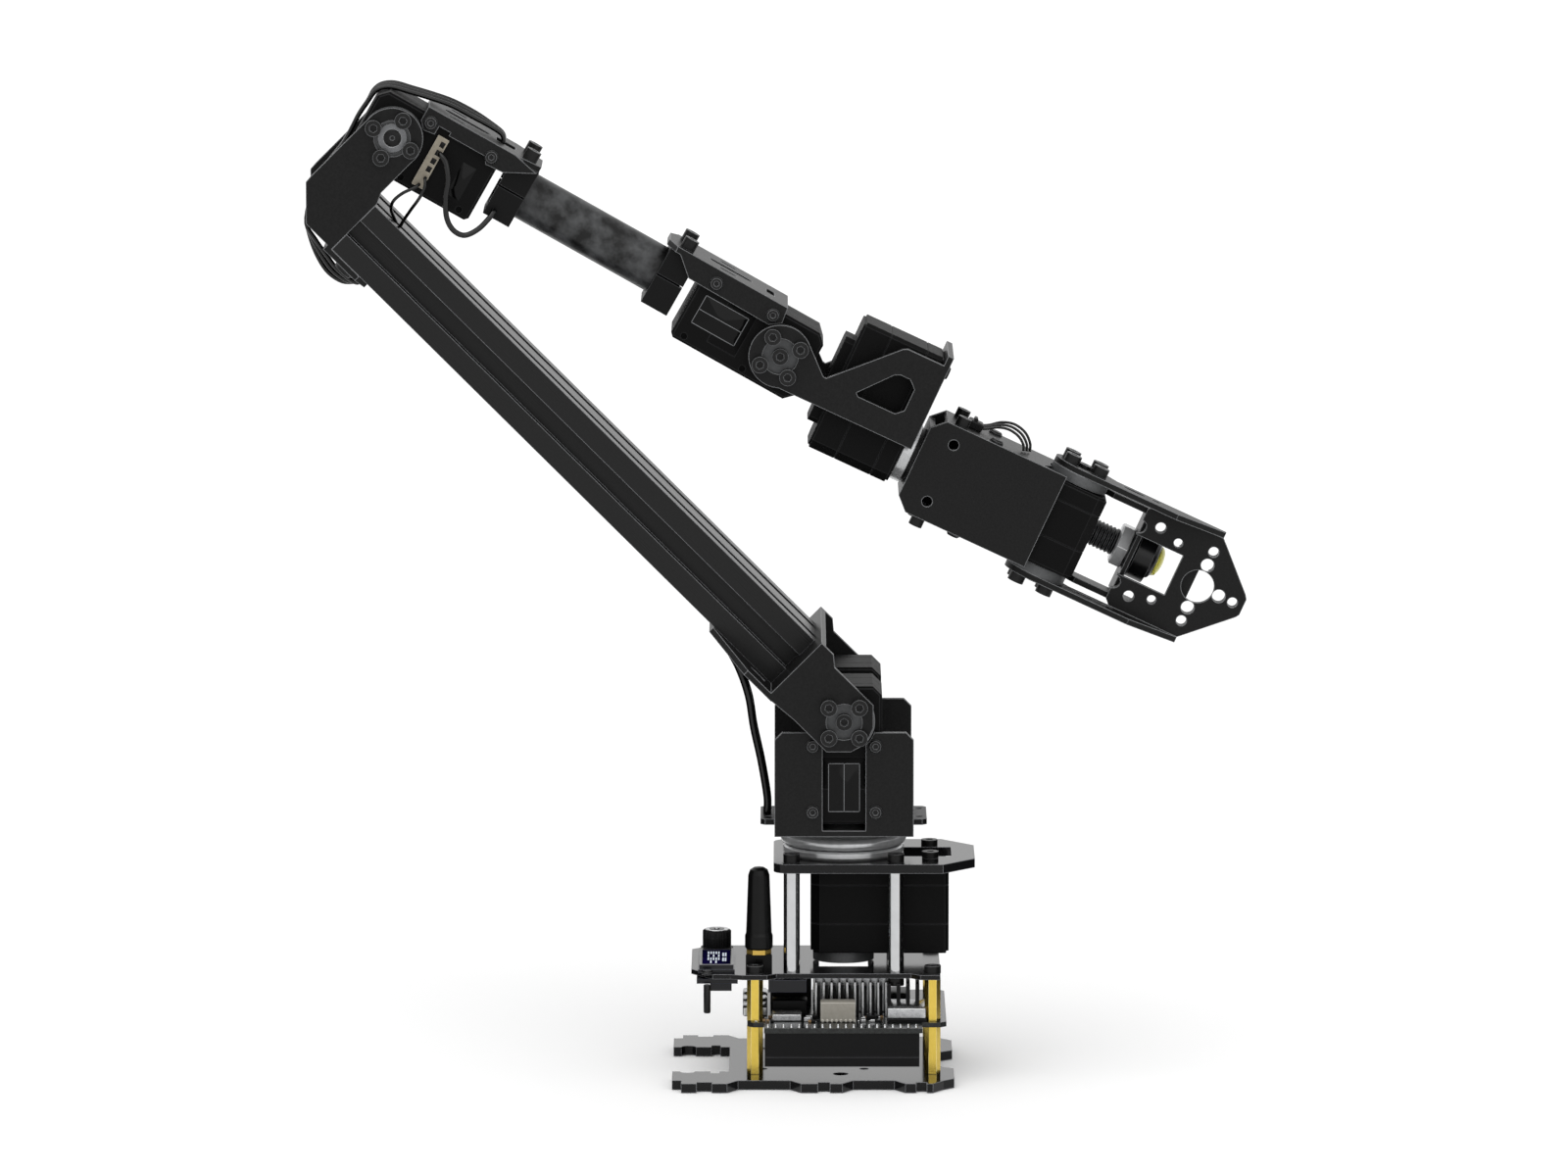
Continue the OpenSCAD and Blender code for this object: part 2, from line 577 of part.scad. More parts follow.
module upper_arm_screws() color("#3a3b3e") {
  in_near_shoulder() translate([0, 0, motor_h/2 + horn_h + sheet]) at_four(horn_pcd, 45) cap_screw(shank = 4, shank_d = 2.4);
  in_far_shoulder() translate([0, 0, motor_h/2 + horn_h + sheet]) at_four(horn_pcd, 45) cap_screw(shank = 4, shank_d = 2.4);
  in_near_shoulder() translate([0, 0, motor_h/2 + horn_h]) cap_screw(shank = 3);
  in_far_shoulder() translate([0, 0, motor_h/2 + horn_h]) cap_screw(shank = 3);
  in_elbow() for (m = [0, 1]) mirror([0, m, 0]) shaft_near()
    translate([0, 0, plate_out]) at_four(horn_pcd, 14) cap_screw(shank = 4, shank_d = 2.4);
  in_beam() for (y = [-beam_w/4, beam_w/4]) {
    translate([beam_start - sheet, y, 0]) rotate([0, -90, 0]) cap_screw(d = 8, h = 3.6, shank_d = 4.6, shank = sheet + 6);
    translate([beam_end + sheet, y, 0]) rotate([0, 90, 0]) cap_screw(d = 8, h = 3.6, shank_d = 4.6, shank = sheet + 6);
    translate([35, y, beam_d/2 + sheet]) low_screw(d = 7, h = 2, shank = 0);
    translate([elbow_s - 19.5, y, beam_d/2 + sheet]) low_screw(d = 7, h = 2, shank = 0);
  }
}

// Forearm
brk_z = motor_w/2 + gap;
brk_y = motor_h/2;
clamp_hole = 10;
module in_elbow_motor() in_forearm() shaft_near() children();
module elbow_motor_body() in_elbow_motor() motor_body();
module elbow_motor_covers() in_elbow_motor() motor_covers(false, true);
strip_x = 12.6;
strip_w = 4;
strip_t = 1.6;
strip_z = [-10, 8];
port_pitch = 3;
module motor_sockets() color("#cfc6b4") in_forearm() translate([strip_x, -motor_h/2 - strip_t, strip_z[0]]) difference() {
  cube([strip_w, strip_t, strip_z[1] - strip_z[0]]);
  for (k = [0:3]) translate([2, -1, 5.8 + port_pitch*k]) cube([1.4, 1.8, 1.8]);
}
module forearm_bracket() color("#2b2d31") in_forearm() {
  difference() {
    translate([5.3, -brk_y - sheet, brk_z]) linear_extrude(sheet) {
      difference() {
        polygon([[0, 0], [32, 0], [41.7, 6], [41.7, 2*(brk_y + sheet) - 6], [32, 2*(brk_y + sheet)], [0, 2*(brk_y + sheet)]]);
        translate([0, brk_y + sheet]) {
          slot2d(8, 20, 0, 5);
          translate([24.7, -4.6]) square([7, 9.2]);
          slot2d(9, 12, -9, 3.4);
          slot2d(9, 12, 9, 3.4);
        }
      }
    }
    for (y = [-clamp_hole, clamp_hole]) translate([rear_clamp + clamp_l/2, y, brk_z - 1]) cylinder(d = 3 + screw_gap, h = 5);
  }
  difference() {
    both_sides(brk_y + sheet)
      polygon([[5.3, brk_z + sheet], [37.3, brk_z + sheet], [46.4, brk_z], [36.6, 7.6], [30.5, 7.2], [29, 9.4],
               [15.6, 9.4], [15.6, 10.6], [11.4, 10.6], [11.4, 7.6], [7.6, 7], [5.3, 9.4]]);
    for (x = [8.5, 31]) translate([x, 0, case_screw_y]) rotate([90, 0, 0]) cylinder(d = 2.4, h = 60, center = true);
  }
}
rear_clamp = 37.6;
front_clamp = forearm_l - 47.8;
clamp_top = brk_z;
clamp_low = -7.5;
clamp_y = 12;
split = 0.6;
// The two halves of a tube clamp, with the clamping screws' holes
module tube_clamp(x) translate([x, 0, 0]) difference() {
  translate([0, -clamp_y, clamp_low]) cube([clamp_l, 2*clamp_y, clamp_top - clamp_low]);
  translate([-1, 0, tube_rise]) rotate([0, 90, 0]) cylinder(d = tube_d + 2*shaft_gap, h = clamp_l + 2);
  translate([-1, -clamp_y - 1, tube_rise - split/2]) cube([clamp_l + 2, 2*clamp_y + 2, split]);
  for (y = [-1, 1]) translate([clamp_l/2, y*clamp_hole, clamp_top - 8]) cylinder(d = 2.4, h = 10);
}
module tube_clamps() color("#1c1d1f") in_forearm() {
  tube_clamp(rear_clamp);
  tube_clamp(front_clamp);
}
tube_x = [rear_clamp + 1, front_clamp + clamp_l - 1];
module forearm_tube() color("#55585c") in_forearm() translate([tube_x[0], 0, tube_rise]) rotate([0, 90, 0]) difference() {
  cylinder(d = tube_d, h = tube_x[1] - tube_x[0]);
  translate([0, 0, -1]) cylinder(d = tube_bore, h = tube_x[1] - tube_x[0] + 2);
}
wrist_case = forearm_l - motor_far;
wb_x0 = front_clamp + 1.6;
wb_x1 = forearm_l - 5.4;
wb_screw = [forearm_l - case_screw_x[1] + 0.7, forearm_l - case_screw_x[0]];
clamp_screw = [rear_clamp + clamp_l/2, front_clamp + clamp_l/2];
module wrist_bracket() color("#2b2d31") in_forearm() {
  translate([0, 0, brk_z]) linear_extrude(sheet) difference() {
    polygon([[wb_x0 - 3.2, -9], [wb_x0, -brk_y - sheet], [wb_x1, -brk_y - sheet], [wb_x1, brk_y + sheet],
             [wb_x0, brk_y + sheet], [wb_x0 - 3.2, 9]]);
    for (y = [-clamp_hole, clamp_hole]) translate([clamp_screw[1], y]) circle(d = 3 + screw_gap);
    slot2d(wb_x0 + 14, wb_x0 + 25, 0, 5);
    for (y = [-9, 9]) slot2d(wb_x0 + 17, wb_x0 + 20, y, 3.4);
    translate([wb_x1 - 8, -5]) square([3, 10]);
  }
  difference() {
    both_sides(brk_y + sheet)
      polygon([[wb_x0 - 0.4, brk_z + sheet], [wb_x1, brk_z + sheet], [wb_x1 + 0.8, 9.4], [wb_x1 - 2.8, 6.8],
               [wb_x1 - 4.3, 6.8], [wb_x0 + 8, 7.2]]);
    for (x = wb_screw) translate([x, 0, case_screw_y]) rotate([90, 0, 0]) cylinder(d = 2.4, h = 60, center = true);
  }
}
module in_wrist_motor() in_forearm() translate([forearm_l, 0, 0]) shaft_near() rotate([0, 0, 180]) children();
module wrist_motor_body() in_wrist_motor() motor_body();
module wrist_motor_covers() in_wrist_motor() motor_covers(true, false);
module forearm_screws() color("#3a3b3e") in_forearm() {
  for (m = [0, 1]) mirror([0, m, 0])
    for (x = [case_screw_x[0], 31, wb_screw[0], wb_screw[1]])
      translate([x, -brk_y - sheet, case_screw_y]) rotate([90, 0, 0]) low_screw(shank = sheet);
  for (y = [-clamp_hole, clamp_hole], x = clamp_screw) translate([x, y, brk_z + sheet]) cap_screw(d = 5, h = 3.7, shank = sheet);
}

// Hand, up to the roll plate
module wrist_horns() in_hand() shaft_near() horn_pair(45);
plate_low = -9.6;
plate_top = 19.7;
web_out = roll_reach + sheet;
module wrist_link() color("#2b2d31") in_hand() {
  difference() {
    both_sides(plate_out) difference() {
      union() {
        circle(r = 10.3);
        polygon([[-5, plate_low + 1.4], [-1, plate_low], [web_out, plate_low], [web_out, plate_top - 1], [web_out - 1, plate_top],
                 [36.6, plate_top], [35, plate_top - 0.8], [16.4, -0.2], [15.4, 0], [6.4, 8.1]]);
      }
      polygon([[27.4, -0.3], [36.2, 10.2], [38, 11], [41.4, 11], [44, 8.6], [44, 1], [41.6, -1.2], [28.4, -1.2]]);
    }
    rotate([90, 0, 0]) {
      cylinder(d = hub_d, h = 100, center = true);
      at_four(horn_pcd, 45) cylinder(d = 3, h = 100, center = true);
    }
  }
  difference() {
    translate([roll_reach, -plate_out, plate_low]) cube([sheet, 2*plate_out, 23.2 - plate_low]);
    translate([roll_reach - 1, 0, -roll_drop]) rotate([0, 90, 0]) {
      cylinder(d = horn_d + 4*gap, h = sheet + 2);
      rotate([0, 0, 180]) case_screws() cylinder(d = 2.4, h = sheet + 2);
    }
  }
}
module in_roll_motor() in_roll() translate([roll_reach - motor_h/2, 0, 0]) rotate([0, 90, 0]) rotate([0, 0, 180]) children();
module roll_motor_body() in_roll_motor() motor_body();
module roll_motor_covers() in_roll_motor() motor_covers(false, false, 3.4);
module wrist_screws() color("#3a3b3e") {
  in_hand() {
    for (m = [0, 1]) mirror([0, m, 0]) shaft_near() horn_screws(45);
  }
  in_roll() for (y = [-case_screw_y, case_screw_y])
    translate([web_out, y, case_screw_x[1]]) rotate([0, 90, 0]) low_screw(shank = sheet);
}

// Rolling hand with the fixed jaw
hand_half = motor_h/2;
bracket_y = motor_w/2 + gap;
hand_back = roll_face + roll_shim;
hand_front = grip_x - 4.9;
module roll_horns() color("silver") in_roll_motor() difference() {
  union() {
    translate([0, 0, motor_h/2 + gap]) cylinder(d = horn_d, h = horn_h - gap);
    translate([0, 0, motor_h/2 - shaft_in]) cylinder(d = shaft_d, h = shaft_in + 1);
  }
  translate([0, 0, motor_h/2 - 1]) cylinder(d = 3, h = horn_h + 2);
  translate([0, 0, motor_h/2 - 1]) at_four(horn_pcd, 45) cylinder(d = 2.5, h = horn_h + 2);
}
module roll_washer() color("silver") in_roll() translate([roll_face, 0, 0]) rotate([0, 90, 0]) difference() {
  cylinder(d = horn_d - 1, h = roll_shim);
  translate([0, 0, -1]) cylinder(d = 6.4, h = roll_shim + 2);
  translate([0, 0, -1]) at_four(horn_pcd, 45) cylinder(d = 2.5, h = roll_shim + 2);
}
jaw_nose = grip_x + jaw_l;
window_end = jaw_nose - 25;
module nose(x0) polygon([[x0, -jaw_half], [jaw_nose - 15.4, -jaw_half], [jaw_nose - 0.8, -4], [jaw_nose, -2.8],
                         [jaw_nose, 2.8], [jaw_nose - 0.8, 4], [jaw_nose - 15.4, jaw_half], [x0, jaw_half]]);
disc_x = jaw_nose - 16.4;
jaw_y = 0;
fixed_y = jaw_y + sheet + jaw_gap;
cheek_y = bracket_y + sheet;
fixed_half = hand_half + sheet;
module jaw_lugs(half) for (m = [0, 1]) mirror([0, m]) {
  polygon([[jaw_nose - 43, 15], [jaw_nose - 39.2, half + 1], [jaw_nose - 43, half + 1]]);
  translate([jaw_nose - 42, 10]) circle(d = 4.4);
}
module fixed_jaw_flat() difference() {
  intersection() {
    nose(jaw_nose - 42);
    translate([jaw_nose - 42, -fixed_half]) square([50, 2*fixed_half]);
  }
  translate([jaw_nose - 43, -9.2]) square([window_end - jaw_nose + 43.6, 18.4]);
  jaw_lugs(fixed_half);
  intersection() {
    translate([disc_x, 0]) circle(r = 6);
    translate([disc_x - 1.6, -10]) square([20, 20]);
  }
  for (m = [0, 1]) mirror([0, m]) {
    translate([disc_x, 12.45]) circle(d = 3.4);
    translate([jaw_nose - 35.5, 12.4]) circle(d = 3.5);
    translate([jaw_nose - 28.2, 10.3]) circle(d = 2.9);
    translate([disc_x, 7.65]) circle(d = 4.3);
  }
  translate([disc_x + 7.65, 0]) circle(d = 4.3);
  translate([jaw_nose - 3.8, 0]) circle(d = 3.3);
}
lamp_y = 16;
lamp_x = jaw_nose - 39.3;
tab_t = 1.6;
stem_d = 9.2;
module hand_bracket() color("#2b2d31") in_roll() {
  difference() {
    translate([hand_back, -cheek_y, -12.2]) cube([sheet, 2*cheek_y, 24.4]);
    translate([hand_back - 1, 0, 0]) rotate([0, 90, 0]) {
      cylinder(d = 6.4, h = 5);
      at_four(horn_pcd, 45) cylinder(d = 3, h = 5);
    }
  }
  both_sides(cheek_y) difference() {
    polygon([[hand_back, -12.2], [hand_back + 4.3, -fixed_half], [hand_front, -fixed_half],
             [hand_front, fixed_half], [hand_back + 4.3, fixed_half], [hand_back, 12.2]]);
    for (y = [-case_screw_y, case_screw_y]) translate([hand_back + 9.3, y]) circle(d = 3.4);
  }
  for (m = [0, 1]) mirror([0, 0, m]) translate([0, 0, hand_half]) linear_extrude(sheet) difference() {
    polygon([[hand_back + 4.3, -cheek_y], [hand_front - 9, -cheek_y], [hand_front, cheek_y - 3],
             [grip_x + 10, fixed_y + 2], [grip_x + 13, fixed_y], [jaw_nose - 15.4, fixed_y],
             [jaw_nose - 15.4, fixed_y + sheet], [jaw_nose - 33, cheek_y], [hand_back + 4.3, cheek_y]]);
    for (y = [-case_screw_y, case_screw_y]) translate([grip_x - case_screw_x[1], y]) circle(d = 2.4);
    translate([grip_x, 0]) circle(d = horn_d + 4*gap);
    for (y = [-case_screw_y, case_screw_y]) translate([hand_back + 9.3, y]) circle(d = 3 + screw_gap);
  }
  side_sheet(fixed_y) fixed_jaw_flat();
  // The tab that carries the lamp
  difference() {
    translate([lamp_x - tab_t, fixed_y + sheet + 1, -hand_half - 0.5]) cube([tab_t, 18, 2*hand_half + 1]);
    translate([lamp_x - 5, lamp_y, 0]) rotate([0, 90, 0]) cylinder(d = stem_d + screw_gap, h = 10);
  }
}
module in_grip_motor() in_roll() translate([grip_x, 0, 0]) rotate([0, 0, 180]) children();
module grip_motor_body() in_grip_motor() motor_body();
module grip_motor_covers() in_grip_motor() motor_covers(false, false);
module lamp_head() color("#202124") in_roll() translate([lamp_x, lamp_y, 0]) rotate([0, 90, 0]) rotate_extrude()
  polygon([[0, 0], [7.8, 0], [8.6, 0.8], [8.6, 6.6], [7, 6.6], [6.2, 7.8], [4.4, 8.9], [2, 9.5], [0, 9.6]]);
module lamp_stem() color("#1b1c1e") in_roll() translate([lamp_x, lamp_y, 0]) rotate([0, -90, 0]) rotate_extrude()
  polygon(concat([[0, 0], [stem_d/2, 0], [stem_d/2, tab_t], [6.4, tab_t], [6.4, tab_t + 4.5], [4.2, tab_t + 4.5]],
    [for (k = [0:7]) for (e = [0, 1]) [4.6 - 0.5*e, 7 + 1.35*k + 0.7*e]], [[0, 17.4]]));
module hand_screws() color("#3a3b3e") in_roll() {
  for (m = [0, 1]) mirror([0, 0, m]) {
    for (y = [-case_screw_y, case_screw_y]) translate([grip_x - case_screw_x[1], y, hand_half + sheet]) low_screw(shank = sheet);
    for (y = [-case_screw_y, case_screw_y])
      translate([hand_back + 9.3, y, hand_half + sheet]) cap_screw(d = 4.6, h = 3.2, shank_d = 2.4, shank = sheet);
  }
  translate([hand_back + sheet, 0, 0]) rotate([0, 90, 0]) at_four(horn_pcd, 45) low_screw(d = 5, h = 1.4, shank = sheet);
}

// Moving jaw
module grip_horns() in_grip_motor() horn_pair(45);
jaw_strip = 20;
module moving_jaw() color("#2b2d31") in_roll() {
  side_sheet(jaw_y) difference() {
    nose(jaw_nose - 42);
    translate([jaw_nose - 43, -jaw_window/2]) square([window_end - jaw_nose + 43, jaw_window]);
    jaw_lugs(jaw_half);
    for (m = [0, 1]) mirror([0, m]) {
      translate([jaw_nose - 35.5, 12.4]) circle(d = 3.5);
      translate([jaw_nose - 28.2, 10.3]) circle(d = 2.9);
      translate([disc_x, 12.45]) circle(d = 3.4);
      translate([disc_x, 7.65]) circle(d = 4.3);
    }
    translate([disc_x, 0]) circle(d = 10.8);
    translate([disc_x + 7.65, 0]) circle(d = 4.3);
    translate([jaw_nose - 3.8, 0]) circle(d = 3.3);
  }
  for (m = [0, 1]) mirror([0, 0, m]) difference() {
    translate([0, 0, jaw_half]) linear_extrude(sheet) difference() {
      union() {
        translate([grip_x, 0]) circle(d = jaw_strip);
        polygon([[grip_x, -jaw_strip/2], [jaw_nose - 33, -jaw_strip/2], [jaw_nose - 15.4, jaw_y],
                 [jaw_nose - 15.4, jaw_y + sheet], [grip_x + 12, jaw_y + sheet], [grip_x + 8, jaw_strip/2 - 4],
                 [grip_x, jaw_strip/2]]);
      }
      translate([grip_x, 0]) circle(d = hub_d);
      translate([grip_x, 0]) at_four(horn_pcd, 45) circle(d = 3);
      slot2d(grip_x + 16, grip_x + 20, -3, 4);
      translate([grip_x + 26, -3]) circle(d = 3.4);
    }
  }
}
module jaw_screws() color("#3a3b3e") in_roll() translate([grip_x, 0, 0])
  for (m = [0, 1]) mirror([0, 0, m]) horn_screws(45);

// Cables: round tubes swept along chosen points
function unit(v) = v/norm(v);
function ring(p, t, u, r, n) = let (a = unit(cross(t, u)), b = cross(a, t))
  [for (k = [0:n - 1]) p + r*(cos(360*k/n)*a + sin(360*k/n)*b)];
module tube(pts, d, up = [0, 1, 0], n = 8) {
  m = len(pts);
  dirs = [for (i = [0:m - 1]) unit(pts[min(i + 1, m - 1)] - pts[max(i - 1, 0)])];
  polyhedron(
    points = [for (i = [0:m - 1]) each ring(pts[i], dirs[i], up, d/2, n)],
    faces = concat([[for (k = [0:n - 1]) k]],
      [for (i = [0:m - 2], k = [0:n - 1]) [i*n + k, (i + 1)*n + k, (i + 1)*n + (k + 1)%n, i*n + (k + 1)%n]],
      [[for (k = [n - 1:-1:0]) (m - 1)*n + k]]));
}
function shift(pts, p) = [for (q = pts) q + p];
elbow_at = [elbow_x, 0, elbow_z];
// Points of the forearm and of the elbow end of the beam, seen from the elbow shaft
function fore_pt(a, h, y = 0) = [a*cos(forearm_dip) + h*sin(forearm_dip), y, -a*sin(forearm_dip) + h*cos(forearm_dip)];
function beam_pt(s, q, y = 0) = [-s*cos(beam_lean) - q*sin(beam_lean), y, s*sin(beam_lean) - q*cos(beam_lean)];
shoulder_route = [[-25, 0, 85.3], [-25, 0, 91], [-27, 0, 103], [-29.4, 0, 114], [-31, 0, 124],
                  [-34, 0, 133], [-37.6, 0, 140]];
over = brk_z + sheet + 1;
rear = shaft_end + 1.2;
under_q = elbow_offset + beam_d/2 + sheet;
function ribbon(k) = [fore_pt(34, over - 2), fore_pt(33.6, over - 0.6), fore_pt(32, over + 0.8), fore_pt(28, over + 1.2),
  fore_pt(20, over + 1.3), fore_pt(12, over + 1), fore_pt(5, over + 0.2), fore_pt(-2, over - 1.4), fore_pt(-7.6, 13.9),
  fore_pt(-10.6, 12), fore_pt(-rear, 8.6), fore_pt(-rear - 0.4, 4.6), beam_pt(12.2, 4), beam_pt(10.4, 9.6),
  beam_pt(9, 15), beam_pt(8.2, 22), beam_pt(7, 28.5), beam_pt(4.2, 34.4), beam_pt(-0.6, under_q - 0.4),
  beam_pt(-6, under_q + 2.2 + k), beam_pt(-12, under_q + 4 + 1.7*k), beam_pt(-17.5, under_q + 4.9 + 1.8*k),
  beam_pt(-22.6, under_q + 4.2 + 1.4*k), beam_pt(-25.6, under_q + 2.4 + 0.4*k), beam_pt(-26.4, under_q + 0.9),
  beam_pt(-26.4, under_q + 0.1)];
near = -motor_h/2 - strip_t - shaft_gap;
lead_one = [[8.4, near, -15.2], [8.4, near - 2.2, -15.2], [6.6, near - 3.2, -16.2], [3, near - 3, -18], [0.2, near - 1.6, -20.6],
            [-0.6, -14.6, -23.6], [0.2, -12, -26.4], [1, -10.4, -28.6]];
lead_two = [[10.6, near, -13.2], [10.6, near - 2.4, -13.2], [10.4, near - 3.4, -16], [8.6, near - 2.6, -19.6], [6, -15.4, -23.4],
            [3.4, -12, -27.4], [2, -10, -30]];
loop_route = [[15.4, near, -5.4], [15.6, near - 2.2, -5.4], [17.4, near - 3.4, -8], [18, near - 3.6, -13.6], [17.2, near - 3.6, -20],
              [17.6, near - 3.4, -26], [19.8, near - 3, -30], [23.4, near - 2.4, -31.6], [27.8, near - 1.6, -29.6],
              [31.4, near - 0.6, -26], [32.6, -15.4, -24.3], [32.6, -clamp_y, -24.3]];
module shoulder_cable() color("#111111") for (y = [-2, 2]) translate([0, y, 0]) tube(shoulder_route, 2.6);
module elbow_cable() color("#111111") for (k = [-1, 0, 1]) translate([0, 3.3*k, 0]) tube(shift(ribbon(k), elbow_at), 1.7);
module elbow_leads() color("#111111") {
  tube(shift(lead_one, elbow_at), 1.1, [-1, 0.9, 0.35]);
  tube(shift(lead_two, elbow_at), 1.1, [-1, 0.9, 0.35]);
}
module forearm_lead() color("#111111") tube(shift(loop_route, elbow_at), 1.8, [-1, 0.9, 0.35]);

bottom_plate();
lower_spacers();
driver_board();
stacking_header();
board_parts();
upper_spacers();
shelf_plate();
union() {
  display_module();
  shelf_underside();
}
power_socket();
antenna_mount();
antenna_whip();
tower_posts();
top_plate();
base_screws();
bearing_ring();
base_motor_body();
base_motor_covers();
base_horns();
turntable();
turret_bracket();
shoulder_motor_near_body();
shoulder_motor_near_covers();
shoulder_motor_far_body();
shoulder_motor_far_covers();
turret_screws();
shoulder_horns();
shoulder_bracket();
main_beam();
elbow_bracket();
elbow_horns();
upper_arm_screws();
shoulder_cable();
elbow_motor_body();
elbow_motor_covers();
motor_sockets();
forearm_bracket();
tube_clamps();
forearm_tube();
wrist_bracket();
wrist_motor_body();
wrist_motor_covers();
forearm_screws();
elbow_cable();
elbow_leads();
forearm_lead();
wrist_horns();
wrist_link();
roll_motor_body();
roll_motor_covers();
wrist_screws();
roll_horns();
hand_bracket();
grip_motor_body();
grip_motor_covers();
union() {
  hand_screws();
  roll_washer();
}
lamp_head();
lamp_stem();
grip_horns();
moving_jaw();
jaw_screws();
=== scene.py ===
import bpy, json, math
import numpy as np
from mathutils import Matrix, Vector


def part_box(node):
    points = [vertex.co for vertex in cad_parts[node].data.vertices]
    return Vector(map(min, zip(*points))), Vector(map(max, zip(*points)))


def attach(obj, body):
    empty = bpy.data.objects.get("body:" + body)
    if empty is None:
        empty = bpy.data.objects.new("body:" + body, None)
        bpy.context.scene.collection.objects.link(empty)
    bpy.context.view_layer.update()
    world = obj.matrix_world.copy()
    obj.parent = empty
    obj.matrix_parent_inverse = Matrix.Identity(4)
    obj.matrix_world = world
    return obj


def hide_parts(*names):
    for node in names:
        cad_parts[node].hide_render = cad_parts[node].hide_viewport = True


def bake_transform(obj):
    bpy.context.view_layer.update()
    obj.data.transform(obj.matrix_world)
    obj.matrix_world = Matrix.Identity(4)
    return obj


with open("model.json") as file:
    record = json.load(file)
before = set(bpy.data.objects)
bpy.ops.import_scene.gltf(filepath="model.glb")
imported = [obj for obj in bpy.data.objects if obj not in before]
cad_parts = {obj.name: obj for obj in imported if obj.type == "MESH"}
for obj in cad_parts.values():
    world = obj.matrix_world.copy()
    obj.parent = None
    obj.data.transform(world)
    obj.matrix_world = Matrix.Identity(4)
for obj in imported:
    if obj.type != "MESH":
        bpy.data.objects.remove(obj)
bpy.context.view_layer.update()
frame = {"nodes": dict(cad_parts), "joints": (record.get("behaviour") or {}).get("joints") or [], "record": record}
cad = frame["nodes"]
scene = bpy.context.scene
scene.view_settings.view_transform = "Standard"

# Camera: a long lens, slightly above the arm, square to its side
cam = bpy.data.cameras.new("view")
camera = bpy.data.objects.new("view", cam)
scene.collection.objects.link(camera)
cam.sensor_width, cam.lens = 36.0, 270.0
cam.clip_start, cam.clip_end = 0.1, 60.0
camera.location = (-0.0195, -3.803, 0.7212)
camera.rotation_euler = (math.radians(81.6), 0.0, 0.0)
scene.camera = camera


# Nodes and finishes
def linear(code):
    """sRGB hex to linear RGB: the sRGB curve undone for each channel."""
    c = np.array([int(code[i:i + 2], 16) for i in (1, 3, 5)]) / 255.0
    return (*np.where(c <= 0.04045, c / 12.92, ((c + 0.055) / 1.055) ** 2.4).tolist(), 1.0)


def node(tree, kind, links=(), **settings):
    """Adds a node. Settings are its inputs by name, or its attributes. Links are pairs of socket and output."""
    n = tree.nodes.new(kind)
    for key, value in settings.items():
        name = key.replace("_", " ")
        if name in n.inputs:
            n.inputs[name].default_value = value
        else:
            setattr(n, key, value)
    for socket, out in links:
        tree.links.new(out, n.inputs[socket])
    return n


def ramp_between(tree, value, low, high, first, second):
    """A colour that goes from first to second as value goes from low to high."""
    ramp = node(tree, "ShaderNodeValToRGB", [("Fac", value)])
    ramp.color_ramp.elements[0].position, ramp.color_ramp.elements[1].position = low, high
    ramp.color_ramp.elements[0].color, ramp.color_ramp.elements[1].color = linear(first), linear(second)
    return ramp.outputs["Color"]


